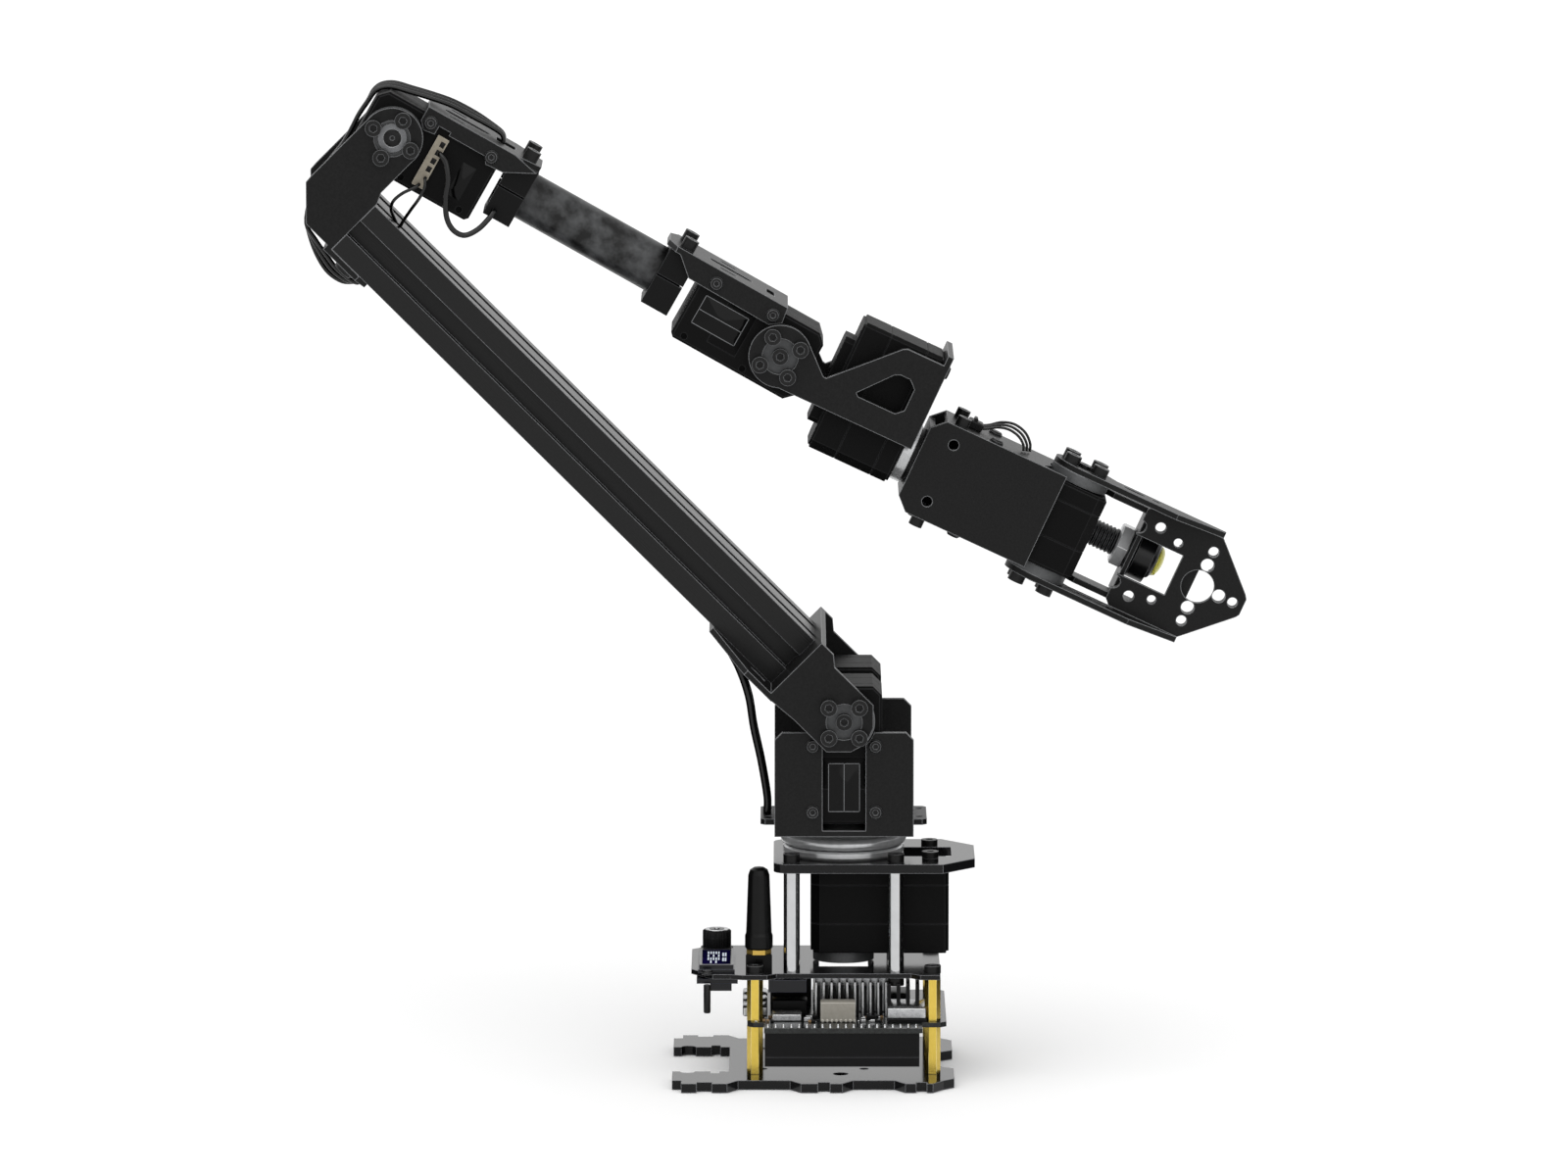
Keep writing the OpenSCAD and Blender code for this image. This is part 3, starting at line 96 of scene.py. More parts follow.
def surface(name, colour, rough, metallic=0.0, specular=0.5, coat=0.0, mottle=(3, None, 0.2), streak=None,
            grain=None, edge=None, below=None):
    """A finish on Principled BSDF, with patterns on Object coordinates and sizes in millimetres.
    mottle: size, other colour, softness. streak: width of drawn lines, their turn, change of roughness.
    grain: size, bump. edge: radius of rounded rims, and the colour of a painted highlight on them. below: height
    under which a colour changes."""
    m = bpy.data.materials.new(name)
    m.use_nodes = True
    t = m.node_tree
    t.nodes.clear()
    place = node(t, "ShaderNodeTexCoord").outputs["Object"]
    bsdf = node(t, "ShaderNodeBsdfPrincipled", Roughness=rough, Metallic=metallic)
    bsdf.inputs["Specular IOR Level"].default_value = specular
    bsdf.inputs["Coat Weight"].default_value = coat
    bsdf.inputs["Coat Roughness"].default_value = 0.1
    size, other, softness = mottle
    spots = node(t, "ShaderNodeTexNoise", [("Vector", place)], Scale=1000.0 / size, Detail=3.0, Roughness=0.6)
    tone = ramp_between(t, spots.outputs["Fac"], 0.5 - softness, 0.5 + softness, colour, other or colour)
    if below:
        height, under = below
        z = node(t, "ShaderNodeSeparateXYZ", [("Vector", place)]).outputs["Z"]
        upper = node(t, "ShaderNodeMath", [(0, z)], operation="GREATER_THAN")
        upper.inputs[1].default_value = height
        mix = node(t, "ShaderNodeMix", [("Factor", upper.outputs[0]), (7, tone)], data_type="RGBA")
        mix.inputs[6].default_value = linear(under)
        tone = mix.outputs[2]
    normal = None
    if edge:
        # edge gives the radius of the rounded rims and the lighter colour of a painted highlight on them
        radius, rim_highlight_colour = edge
        round_rim = node(t, "ShaderNodeBevel", Radius=radius / 1000, samples=6)
        flat = node(t, "ShaderNodeNewGeometry").outputs["Normal"]
        cosine = node(t, "ShaderNodeVectorMath", [(0, flat), (1, round_rim.outputs["Normal"])],
                      operation="DOT_PRODUCT")
        # The painted rim highlight starts where the rounded normal leans 6 degrees from the face, full at 22
        rim_highlight_mask = node(t, "ShaderNodeMapRange", [("Value", cosine.outputs["Value"])])
        for key, value in (("From Min", 0.995), ("From Max", 0.93), ("To Min", 0.0), ("To Max", 1.0)):
            rim_highlight_mask.inputs[key].default_value = value
        mix = node(t, "ShaderNodeMix", [("Factor", rim_highlight_mask.outputs[0]), (6, tone)], data_type="RGBA")
        mix.inputs[7].default_value = linear(rim_highlight_colour)
        tone, normal = mix.outputs[2], round_rim.outputs["Normal"]
    t.links.new(tone, bsdf.inputs["Base Color"])
    if streak:
        width, turn, change = streak
        # The pattern is turned, then drawn out 50 times along X
        along = node(t, "ShaderNodeMapping", [("Vector", place)], vector_type="TEXTURE", Rotation=turn,
                     Scale=(50.0, 1.0, 1.0))
        lines = node(t, "ShaderNodeTexNoise", [("Vector", along.outputs["Vector"])], Scale=1000.0 / width,
                     Detail=2.0)
        r = node(t, "ShaderNodeMapRange", [("Value", lines.outputs["Fac"])])
        r.inputs["To Min"].default_value = max(rough - change, 0.05)
        r.inputs["To Max"].default_value = rough + change
        t.links.new(r.outputs[0], bsdf.inputs["Roughness"])
    if grain:
        size, bump = grain
        fine = node(t, "ShaderNodeTexNoise", [("Vector", place)], Scale=1000.0 / size, Detail=2.0)
        b = node(t, "ShaderNodeBump", [("Height", fine.outputs["Fac"])], Strength=bump, Distance=0.0003)
        if normal:
            t.links.new(normal, b.inputs["Normal"])
        normal = b.outputs["Normal"]
    if normal:
        t.links.new(normal, bsdf.inputs["Normal"])
    node(t, "ShaderNodeOutputMaterial", [("Surface", bsdf.outputs["BSDF"])])
    return m


QUARTER = math.radians(90)
LEAN = math.radians(45)
# Steel sheet with a baked powder coat: nearly black and satin, with a fine skin and a painted highlight on its
# rims
powder_coat = surface("powder_coated_steel", "#0f0f0f", 0.36, specular=0.12, mottle=(0.7, "#191919", 0.25),
                      grain=(0.5, 0.1), edge=(0.45, "#8c8d8f"))
# The plates of the base have a smoother, glossier coat that mirrors what stands on them
gloss_coat = surface("gloss_coated_steel", "#0e0e0f", 0.12, specular=0.2, mottle=(1.5, "#121213", 0.3),
                     grain=(1.2, 0.02), edge=(0.35, "#7c7d80"))
# Motor case of moulded nylon: spark-eroded skin, very dark and dull
nylon = surface("moulded_nylon", "#060606", 0.5, specular=0.07, mottle=(0.6, "#0a0a0a", 0.3),
                grain=(0.35, 0.2), edge=(0.4, "#2c2c2d"))
# Black anodised extrusion: satin, with die lines that run along the beam
anodised = surface("anodised_extrusion", "#0f0f0f", 0.3, specular=0.2, mottle=(0.8, "#161616", 0.3),
                   streak=(0.9, (0, LEAN, 0), 0.12), edge=(0.35, "#8e8f92"))
# Turned and clear anodised aluminium: bright, with a fine grain
turned_aluminium = surface("turned_aluminium", "#c8c9ca", 0.24, metallic=0.55, mottle=(2.5, "#b6b7b8", 0.25),
                           grain=(0.7, 0.03), edge=(0.3, "#e8e8e8"))
# Grey anodised aluminium horns, matt from blasting
horn_grey = surface("grey_anodised_horn", "#58595a", 0.45, metallic=0.4, specular=0.3,
                    mottle=(0.8, "#4c4d4e", 0.3), grain=(0.4, 0.06), edge=(0.3, "#98999b"))
# Hubs of the horns: turned and left bare, mid grey
hub_grey = surface("turned_hub", "#77787a", 0.34, metallic=0.5, specular=0.3, mottle=(1.5, "#68696b", 0.3),
                   grain=(0.5, 0.04), edge=(0.3, "#b9babb"))
# Black oxide steel: dark and oily, with a painted grey highlight on its rims
black_oxide = surface("black_oxide_steel", "#0c0c0c", 0.34, specular=0.2, mottle=(1.0, "#141414", 0.3),
                      grain=(0.3, 0.05), edge=(0.3, "#77787a"))
# Chrome-plated posts: bright, with grinding lines along them
chrome = surface("chrome_plated_post", "#c8c9ca", 0.14, metallic=1.0, mottle=(4, "#bcbdbe", 0.3),
                 streak=(0.6, (0, QUARTER, 0), 0.05))
# Milled brass: pale yellow, bright on its flats
brass = surface("milled_brass", "#dcc05a", 0.25, metallic=0.95, mottle=(2, "#d2b550", 0.3), grain=(0.6, 0.03),
                edge=(0.3, "#f6ebb4"))
# Brass of the antenna's nut: darker yellow, over a black socket that ends 41.7 mm above the floor
antenna_brass = surface("antenna_nut_brass", "#c9a955", 0.28, metallic=0.8, mottle=(2, "#bb9a48", 0.3),
                        grain=(0.6, 0.03), below=(0.0417, "#080808"))
# Circuit board with black solder mask: glossy, with faint lighter patches where copper lies under it
solder_mask = surface("black_solder_mask", "#0a0b0b", 0.25, specular=0.25, coat=0.2,
                      mottle=(1.2, "#1d201f", 0.1), grain=(0.6, 0.06), edge=(0.25, "#3c3d38"))
# Tinned steel: bright shells and fins
tinned = surface("tinned_steel", "#c6c7c8", 0.26, metallic=0.9, mottle=(1.5, "#a2a3a5", 0.25),
                 grain=(0.5, 0.04), edge=(0.25, "#eeeeee"))
# Header strips and connector bodies: dull black nylon
header_nylon = surface("header_nylon", "#070707", 0.4, specular=0.12, mottle=(1.5, "#0b0b0c", 0.3),
                       grain=(0.4, 0.1), edge=(0.3, "#333335"))
# Tube clamps of machined nylon: dark, slightly satin
clamp_nylon = surface("clamp_nylon", "#090909", 0.42, specular=0.1, mottle=(0.8, "#0e0e0e", 0.3),
                      grain=(0.4, 0.12), edge=(0.4, "#434345"))
# Cable ports of nylon the colour of old ivory
ivory = surface("ivory_nylon", "#8f887a", 0.5, specular=0.25, mottle=(1.5, "#7f786b", 0.25), grain=(0.4, 0.06),
                edge=(0.2, "#cfc9bb"))
# Pale plug housing, grey with handling
plug_white = surface("plug_housing", "#98948b", 0.5, specular=0.25, mottle=(1.5, "#8b877e", 0.25),
                     grain=(0.4, 0.06), edge=(0.2, "#e4e1d8"))
# Sheath of soft PVC: smooth and glossy
sheath = surface("pvc_sheath", "#060606", 0.22, specular=0.3, coat=0.1, mottle=(4, "#0a0a0a", 0.3),
                 grain=(0.5, 0.04))
# Whip moulded in rubber: black and half glossy
whip_rubber = surface("moulded_whip", "#050505", 0.3, specular=0.16, mottle=(3, "#0b0b0b", 0.3),
                      grain=(0.4, 0.06))
# Forged carbon: chopped fibre in resin, cloudy grey patches under a satin lacquer
forged_carbon = surface("forged_carbon", "#0b0b0b", 0.38, specular=0.2, coat=0.1, mottle=(7, "#444546", 0.14),
                        grain=(1.5, 0.04), edge=(0.3, "#767779"))
# Lamp body of anodised aluminium: black, with a painted highlight on its turned edges
lamp_black = surface("anodised_lamp_body", "#0b0b0c", 0.28, specular=0.25, mottle=(2, "#101011", 0.3),
                     grain=(0.4, 0.06), edge=(0.3, "#77787a"))
# Lens of tinted yellow plastic, clear and wet-looking
lens_yellow = surface("yellow_lens", "#e6e15a", 0.12, specular=0.5, coat=0.6, mottle=(3, "#d8d24a", 0.3),
                      grain=(2, 0.01))
# Nickel-plated nut: bright flats
nickel = surface("nickel_plated_nut", "#cfd0d1", 0.22, metallic=0.35, mottle=(2, "#c2c3c4", 0.3),
                 grain=(0.8, 0.02), edge=(0.3, "#f4f4f4"))
# Display: a black bezel, a deep blue glass that mirrors nothing, and plain lit marks
screen_black = surface("display_bezel", "#07080b", 0.2, specular=0.3, mottle=(3, "#0a0b11", 0.3),
                       grain=(1, 0.02), edge=(0.25, "#3a3c48"))
screen_glass = surface("display_glass", "#05061c", 0.35, specular=0.0, mottle=(9, "#100a38", 0.15),
                       grain=(2, 0.004))
lit_mark = surface("lit_display_mark", "#f2f7ff", 0.4, specular=0.0, mottle=(0.6, "#dbe8f8", 0.2))
# Blank glossy label film, and the thin silver line printed round it
label_film = surface("blank_label_film", "#040404", 0.12, specular=0.12, coat=0.05,
                     mottle=(3, "#060606", 0.3), grain=(3, 0.01))
label_line = surface("silver_ink", "#77787a", 0.35, metallic=0.3, mottle=(0.8, "#5c5d5f", 0.3))
# Tan ceramic of the board's small capacitors
ceramic_tan = surface("capacitor_ceramic", "#9a7d5a", 0.5, specular=0.3, mottle=(0.8, "#7d6548", 0.3))
FINISH = {"bracket_black": powder_coat, "case_black": nylon, "horn_silver": horn_grey,
          "screw_steel": black_oxide, "cable_black": sheath, "socket_beige": ivory, "board_black": solder_mask,
          "board_metal": tinned, "header_black": header_nylon, "spacer_brass": brass, "post_chrome": chrome,
          "ring_silver": turned_aluminium, "display_blue": screen_black, "whip_black": whip_rubber,
          "beam_black": anodised, "clamp_black": clamp_nylon, "tube_carbon": forged_carbon,
          "lamp_black": lamp_black}
OWN_FINISH = {"bottom_plate": gloss_coat, "top_plate": gloss_coat, "shelf_plate": gloss_coat,
              "antenna_mount": antenna_brass, "roll_horns": turned_aluminium}
slots = {p["node"]: p["material_slot"] for p in frame["record"]["subparts"]}
for name, obj in cad.items():
    obj.data.materials.clear()
    obj.data.materials.append(OWN_FINISH.get(name, FINISH[slots[name]]))


# Shapes. Every part is points, four-sided faces and triangles
def unit(v):
    """Vectors of length one: each row divided by its length."""
    return v / np.linalg.norm(v, axis=-1, keepdims=True)


def grid(rows):
    """A closed tube of quads between rings of points, rows[ring][place], with a pole in each end."""
    rows = np.asarray(rows, float)
    nv, nu = rows.shape[:2]
    u, v = np.meshgrid(np.arange(nu), np.arange(nv - 1))
    right = (u + 1) % nu
    quads = np.stack([v * nu + u, v * nu + right, (v + 1) * nu + right, (v + 1) * nu + u], -1).reshape(-1, 4)
    points = np.vstack([rows.reshape(-1, 3), rows[0].mean(0), rows[-1].mean(0)])
    i, top, pole = np.arange(nu), (nv - 1) * nu, nv * nu
    j = (i + 1) % nu
    first = np.stack([j, i, np.full(nu, pole)], -1)
    last = np.stack([top + i, top + j, np.full(nu, pole + 1)], -1)
    return points, quads, np.vstack([first, last])


def curve(points, steps=6):
    """A smooth line through points: the Catmull-Rom cubic between each two, with steps places on each."""
    p = np.asarray(points, float)
    p = np.vstack([2 * p[0] - p[1], p, 2 * p[-1] - p[-2]])
    a, b, c, d = p[:-3], p[1:-2], p[2:-1], p[3:]
    t = np.linspace(0, 1, steps, endpoint=False)[:, None, None]
    q = 0.5 * (2 * b + (c - a) * t + (2 * a - 5 * b + 4 * c - d) * t**2 + (3 * b - a - 3 * c + d) * t**3)
    return np.vstack([q.transpose(1, 0, 2).reshape(-1, 3), p[-2]])


def tube(points, radius, across=(0, 1, 0), sides=14, steps=6):
    """A round cable: circles of one radius, square to the smooth line through points."""
    line = curve(points, steps)
    along = unit(np.gradient(line, axis=0))
    side = unit(np.cross(along, np.asarray(across, float)))
    rise = np.cross(side, along)
    a = np.linspace(0, 2 * np.pi, sides, endpoint=False)[None, :, None]
    return grid(line[:, None] + radius * (np.cos(a) * side[:, None] - np.sin(a) * rise[:, None]))


def lathe(profile, sides=32):
    """A turned shape about Z: each pair of radius and height in the profile makes a circle."""
    p = np.asarray(profile, float)
    a = np.linspace(0, 2 * np.pi, sides, endpoint=False)
    r, h = p[:, :1], p[:, 1:]
    return grid(np.stack([r * np.cos(a), r * np.sin(a), np.broadcast_to(h, (len(p), sides))], -1))


def block(low, high, edge=0.15):
    """A box from low to high with cut corners: four rings of eight points, the end ones drawn in by edge."""
    low, high = np.asarray(low, float), np.asarray(high, float)
    mid, half = (low + high)[:2] / 2, (high - low)[:2] / 2
    signs = np.array([[1, -1], [1, -1], [1, 1], [1, 1], [-1, 1], [-1, 1], [-1, -1], [-1, -1]], float)
    cut = np.array([[1, 0], [0, 1], [0, 1], [1, 0], [1, 0], [0, 1], [0, 1], [1, 0]], float)
    draw = np.array([edge, 0, 0, edge])[:, None, None]
    flat = mid + signs * (half - draw) - signs * cut * edge
    z = np.array([low[2], low[2] + edge, high[2] - edge, high[2]])[:, None, None]
    return grid(np.concatenate([flat, np.broadcast_to(z, (4, 8, 1))], -1))


def repeat(part, places):
    """Copies of one part, moved to each of the places."""
    points, quads, tris = part
    places = np.asarray(places, float).reshape(-1, 1, 3)
    step = (np.arange(len(places)) * len(points))[:, None, None]
    return ((points[None] + places).reshape(-1, 3), (quads[None] + step).reshape(-1, 4),
            (tris[None] + step).reshape(-1, 3))


def piece(name, parts, material, body=None, turn=None, origin=(0, 0, 0), smooth=True):
    """One object from parts in millimetres, turned by a matrix and moved to its origin in metres."""
    turn = np.eye(3) if turn is None else turn
    starts = np.cumsum([0] + [len(p[0]) for p in parts[:-1]])
    points = np.vstack([p[0] for p in parts]) * 0.001 @ turn + np.asarray(origin, float)
    faces = sum([(p[1] + s).tolist() + (p[2] + s).tolist() for p, s in zip(parts, starts)], [])
    mesh = bpy.data.meshes.new(name)
    mesh.from_pydata(points.tolist(), [], faces)
    mesh.polygons.foreach_set("use_smooth", [smooth] * len(mesh.polygons))
    mesh.update()
    obj = bpy.data.objects.new(name, mesh)
    scene.collection.objects.link(obj)
    mesh.materials.append(material)
    if body:
        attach(obj, body)
    return obj


# Places of the joints, and the turned frames of the arm's links
joint = {j["name"]: np.array(j["pos_m"]) for j in frame["joints"]}
FOREARM_DIP, HAND_DIP = math.radians(29.5), math.radians(25)


def dipped(angle):
    """Rows along, across and up of a link whose far end dips by angle."""
    c, s = math.cos(angle), math.sin(angle)
    return np.array([[c, 0, -s], [0, 1, 0], [s, 0, c]])


FOREARM, HAND = dipped(FOREARM_DIP), dipped(HAND_DIP)
BEAM = np.array([[-math.cos(LEAN), 0, math.sin(LEAN)], [0, 1, 0], [-math.sin(LEAN), 0, -math.cos(LEAN)]])


def on_link(rows, places):
    """Points along, across and up a link, seen in the frame of the whole arm."""
    return [np.asarray(p, float) @ rows for p in places]


def rounded(name, parts, **how):
    """A piece whose flats stay flat and whose round parts shade smoothly: edges over 40 degrees stay sharp."""
    obj = piece(name, parts, **how)
    obj.data.set_sharp_from_angle(angle=math.radians(40))
    return obj


# Cables. Their points follow the routes of the solids that they stand for. The strands over the elbow lie about
# 1 mm closer to the motor than theirs
motor_half = 14.35
shoulder_points = [[-25, 0, 85.3], [-25, 0, 91], [-27, 0, 103], [-29.4, 0, 114], [-31, 0, 124], [-34, 0, 133],
                   [-37.6, 0, 140]]
shoulder_cable = piece("shoulder_cables",
                       [tube(np.array(shoulder_points) + [0, y, 0], 1.3) for y in (-2, 2)], sheath)
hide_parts("shoulder_cable")
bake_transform(shoulder_cable)

# The strands run over the motor, behind its end, and under the bracket: distances from the elbow's axis
over = motor_half + 0.3 + 1.6
rear = 12.0
under = 29.4 + 10 + 2


def strand(k):
    """One of the elbow's three strands: over the motor, round its end and back under the bracket."""
    rise = 0.5 * (k + 1)
    top = [(32.4, over - 1.6), (32.0, over - 0.4), (30.4, over + 0.8), (26, over + 1.1 + 0.4 * rise),
           (20, over + 1.0 + rise), (12, over + 0.8 + rise), (5, over - 0.4 + rise), (-2, over - 2.0 + rise),
           (-7.6, 12.9 + rise), (-10.6 - 0.4 * rise, 11 + 0.6 * rise), (-rear - 0.4 * rise, 8.6),
           (-rear - 0.4, 4.6)]
    back = [(12.2, 4), (10.4, 9.6), (9, 15), (8.2, 22), (7, 28.5), (4.2, 34.4), (-0.6, under - 0.4),
            (-6, under + 2.2 + k), (-12, under + 4 + 1.7 * k), (-17.5, under + 4.9 + 1.8 * k),
            (-22.6, under + 4.2 + 1.4 * k), (-25.6, under + 2.4 + 0.4 * k), (-26.4, under + 0.9),
            (-26.4, under + 0.1)]
    points = on_link(FOREARM, [(a, 0, h) for a, h in top]) + on_link(BEAM, [(s, 0, q) for s, q in back])
    return tube(np.array(points) + [0, 3.3 * k, 0], 0.75, steps=4)


elbow_cable = piece("elbow_strands", [strand(k) for k in (-1, 0, 1)], sheath, origin=joint["elbow"])
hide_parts("elbow_cable")
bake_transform(elbow_cable)

ACROSS_LEAD = (-1, 0.9, 0.35)
near = -motor_half - 1.65
lead_one = [[8.4, near, -15.2], [8.4, near - 2.2, -15.2], [6.6, near - 3.2, -16.2], [3, near - 3, -18],
            [0.2, near - 1.6, -20.6], [-0.6, -14.6, -23.6], [0.2, -12, -26.4], [1, -10.4, -28.6]]
lead_two = [[10.6, near, -13.2], [10.6, near - 2.4, -13.2], [10.4, near - 3.4, -16], [8.6, near - 2.6, -19.6],
            [6, -15.4, -23.4], [3.4, -12, -27.4], [2, -10, -30]]
elbow_leads = piece("elbow_wires", [tube(p, 0.55, ACROSS_LEAD, sides=12) for p in (lead_one, lead_two)], sheath,
                    origin=joint["elbow"])
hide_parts("elbow_leads")
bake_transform(elbow_leads)
loop = [[15.4, near, -5.4], [15.6, near - 2.2, -5.4], [17.4, near - 3.4, -8], [18, near - 3.6, -13.6],
        [17.2, near - 3.6, -20], [17.6, near - 3.4, -26], [19.8, near - 3, -30], [23.4, near - 2.4, -31.6],
        [27.8, near - 1.6, -29.6], [31.4, near - 0.6, -26], [32.6, -15.4, -24.3], [32.6, -12, -24.3]]
forearm_lead = piece("forearm_loop", [tube(loop, 0.9, ACROSS_LEAD)], sheath, body="forearm",
                     origin=joint["elbow"])
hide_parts("forearm_lead")

# Driver board. Every place is in millimetres from the floor under the turntable
BOARD_TOP = 20.62


def on_board(places, size, rise=0.0, edge=0.12):
    """Equal blocks on the board, by the near left corner of each and one size."""
    return repeat(block((0, 0, BOARD_TOP + rise), (size[0], size[1], BOARD_TOP + rise + size[2]), edge),
                  [(x, y, 0) for x, y in places])


rounded("board_metal_parts", [
    on_board([(-33, -18), (-33, -5), (-33, 8)], (8.0, 9.0, 3.2), edge=0.4),
    on_board([(-23.4, -27)], (9.6, 8.0, 2.4), edge=0.3),
    on_board([(-9.4 + 2.55 * k, -18) for k in range(10)], (0.75, 8.0, 11.4)),
    on_board([(-10, -10)], (24.6, 1.2, 12.0), edge=0.3),
    on_board([(14.2, -28.2)], (12.6, 16.4, 3.6), rise=1.1, edge=0.3),
    on_board([(-13, -27.6), (-12.4, -24.4)], (2.2, 1.6, 1.4)),
    on_board([(5.6, -28.4), (8.6, -28.4), (5.6, -24.4)], (1.6, 1.0, 0.9)),
], material=tinned, body="base")
board_blocks = rounded("board_dark_parts", [
    on_board([(-23.4, -16)], (11.4, 8, 5.0), edge=0.3),
    on_board([(-32.6, -17.5), (-32.6, -4.5), (-32.6, 8.5)], (1.0, 8.0, 2.2), rise=0.5),
    on_board([(-9.6 + 2.55 * k, -16.8) for k in range(10)], (1.9, 6.4, 9.6), edge=0.2),
    on_board([(14.2, -28.4)], (12.8, 16.6, 1.1)),
    on_board([(14.2 + 3.1 * k, -25) for k in range(4)], (1.2, 12, 8.6), rise=3.6, edge=0.2),
    on_board([(-10, 8), (8, 6)], (14, 14, 3.0), edge=0.3),
    on_board([(-24, 2)], (13.5, 9, 10.5), edge=0.3),
    on_board([(7.4, -22), (-11.6, -22)], (3.2, 2.4, 1.0)),
], material=header_nylon, body="base")
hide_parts("board_parts")
rounded("white_plug_header", [
    on_board([(-7.6, -28.4)], (11.4, 6.4, 6.6), edge=0.3),
    on_board([(-7.2 + 1.5 * k, -29.0) for k in range(8)], (0.6, 0.8, 0.9)),
], material=plug_white, body="base")
# Small chips in two bands along the near edge, except where a larger part stands
COUNT = 96
small = np.random.RandomState(7)
small_x = small.permutation(np.linspace(-29, 30, COUNT))
small_y = np.where(np.arange(COUNT) % 3 < 2, small.uniform(-28.6, -26.2, COUNT), small.uniform(-22, -19, COUNT))
clear = ((small_x < -24) | (small_x > -12.6)) & ((small_x < -8.6) | (small_x > 4.4)) & (small_x < 12.6)
chips = np.stack([small_x, small_y], -1)[clear]
rounded("board_resistors", [on_board(chips[0::3], (0.8, 0.5, 0.35), edge=0.05)], material=tinned, body="base")
rounded("board_capacitors", [on_board(chips[1::3], (1.0, 0.6, 0.7), edge=0.08)], material=ceramic_tan,
        body="base")
rounded("board_diodes", [on_board(chips[2::3], (1.3, 0.8, 0.6), edge=0.08)], material=header_nylon, body="base")
PITCH, HEADER_X, HEADER_Y = 2.54, -0.6, -36.7
pin_x = HEADER_X + PITCH * (np.arange(20) - 9.5)
pin_rows = np.array([(x, HEADER_Y + y, BOARD_TOP) for y in (-PITCH / 2, PITCH / 2) for x in pin_x])
solder_joint = lathe([(0.62, 0), (0.45, 0.15), (0.24, 0.6), (0.12, 0.75)], 10)
piece("header_solder_joints", [repeat(solder_joint, pin_rows)], tinned, body="base")
tick_places = [(8.6 + 1.02 * k, -33.9 + 0.5 * (k % 3 == 0)) for k in range(16)]
piece("printed_ticks", [on_board(tick_places, (0.5, 0.22, 0.02), edge=0.004)], label_line, body="base")

# Shelf: the display, the knurled socket ring and the screw that stands under it
SHELF_TOP, DISPLAY_X = 36.2, -41.6
glass_low = (DISPLAY_X - 4.55, -22.9, SHELF_TOP + 2.4)
glass_high = (DISPLAY_X + 4.55, 3.9, SHELF_TOP + 2.6)
rounded("display_glass", [block(glass_low, glass_high, 0.05)], material=screen_glass, body="base")
mark_rows = [(DISPLAY_X - 2.9 + 0.85 * i, -20.5 + 5.6 * k) for i in range(5) for k in range(4)
             if (2 * i + k) % 4]
icon = [(DISPLAY_X + 1.9 + 0.8 * i, -17 + 9.0 * k) for i in range(2) for k in range(2)]
mark_z = SHELF_TOP + 2.61 - BOARD_TOP
rounded("display_marks", [on_board(mark_rows, (0.5, 4.4, 0.03), rise=mark_z, edge=0.005),
                          on_board(icon, (0.55, 6.5, 0.03), rise=mark_z, edge=0.005)],
        material=lit_mark, body="base")


def knurled(radius, low, high, teeth=36, depth=0.16):
    """A ring about Z with straight teeth: its radius is less by depth at each tooth, and by 0.5 at its rims."""
    z = np.array([low, low + 0.5, high - 0.5, high])
    cut = np.array([0.5, 0, 0, 0.5])[:, None]
    a = np.linspace(0, 2 * np.pi, 4 * teeth, endpoint=False)[None]
    r = radius - cut - depth * (np.cos(teeth * a) > 0)
    return grid(np.stack([r * np.cos(a), r * np.sin(a), np.broadcast_to(z[:, None], r.shape)], -1))


socket_at = (DISPLAY_X * 0.001, 0.016, 0)
RING_TOP = SHELF_TOP + 7.4
rounded("socket_ring", [knurled(4.7, SHELF_TOP + 1.4, RING_TOP)], material=header_nylon, body="base",
        origin=socket_at)
socket_rim = [(4.0, RING_TOP - 0.1), (4.0, RING_TOP + 0.15), (3.2, RING_TOP + 0.25), (2.5, RING_TOP + 0.1)]
socket_pin = [(0.9, RING_TOP), (0.9, RING_TOP + 0.5), (0.5, RING_TOP + 0.7)]
rounded("socket_face", [lathe(socket_rim), lathe(socket_pin, 20)], material=tinned, body="base",
        origin=socket_at)
rounded("socket_shadow", [lathe([(2.45, RING_TOP), (2.45, RING_TOP + 0.22), (1.0, RING_TOP + 0.23)])],
        material=label_film, body="base", origin=socket_at)
rounded("display_screw_end", [lathe([(0.95, 23.4), (1.15, 23.8), (1.15, 32.6), (1.0, 32.8)], 20)],
        material=black_oxide, body="base", origin=((DISPLAY_X - 3) * 0.001, -0.0268, 0))

# Motors: blank labels with a thin line round them, and the ports of the cable strip
LABEL = (16.0, 10.3)
FROM_SHAFT = 0.0224
near_face = np.array([0, -0.001 * motor_half, 0])


def label_parts(width, height, line=0.22):
    """A film, low along X and Y, and the four bars and one divider that lie on it."""
    w, h = width / 2, height / 2
    film = block((-w, -h, 0), (w, h, 0.1), 0.03)
    bars = [((-w, -h), (w, -h + line)), ((-w, h - line), (w, h)), ((-w, -h), (-w + line, h)),
            ((w - line, -h), (w, h)), ((-w, -line / 2), (w, line / 2))]
    return film, [block((*a, 0.1), (*b, 0.13), 0.01) for a, b in bars]


def blank_label(name, body, turn, origin):
    """The label of one motor, X along the case and Z towards the eye, and the panel that fills the recess."""
    film, bars = label_parts(*LABEL)
    panel = block((-9.9, -7.9, -0.4), (0.5, 7.9, 0.0), 0.02)
    rounded(name + "_panel", [panel], material=nylon, body=body, turn=turn, origin=origin)
    rounded(name + "_film", [film], material=label_film, body=body, turn=turn, origin=origin)
    rounded(name + "_line", bars, material=label_line, body=body, turn=turn, origin=origin)


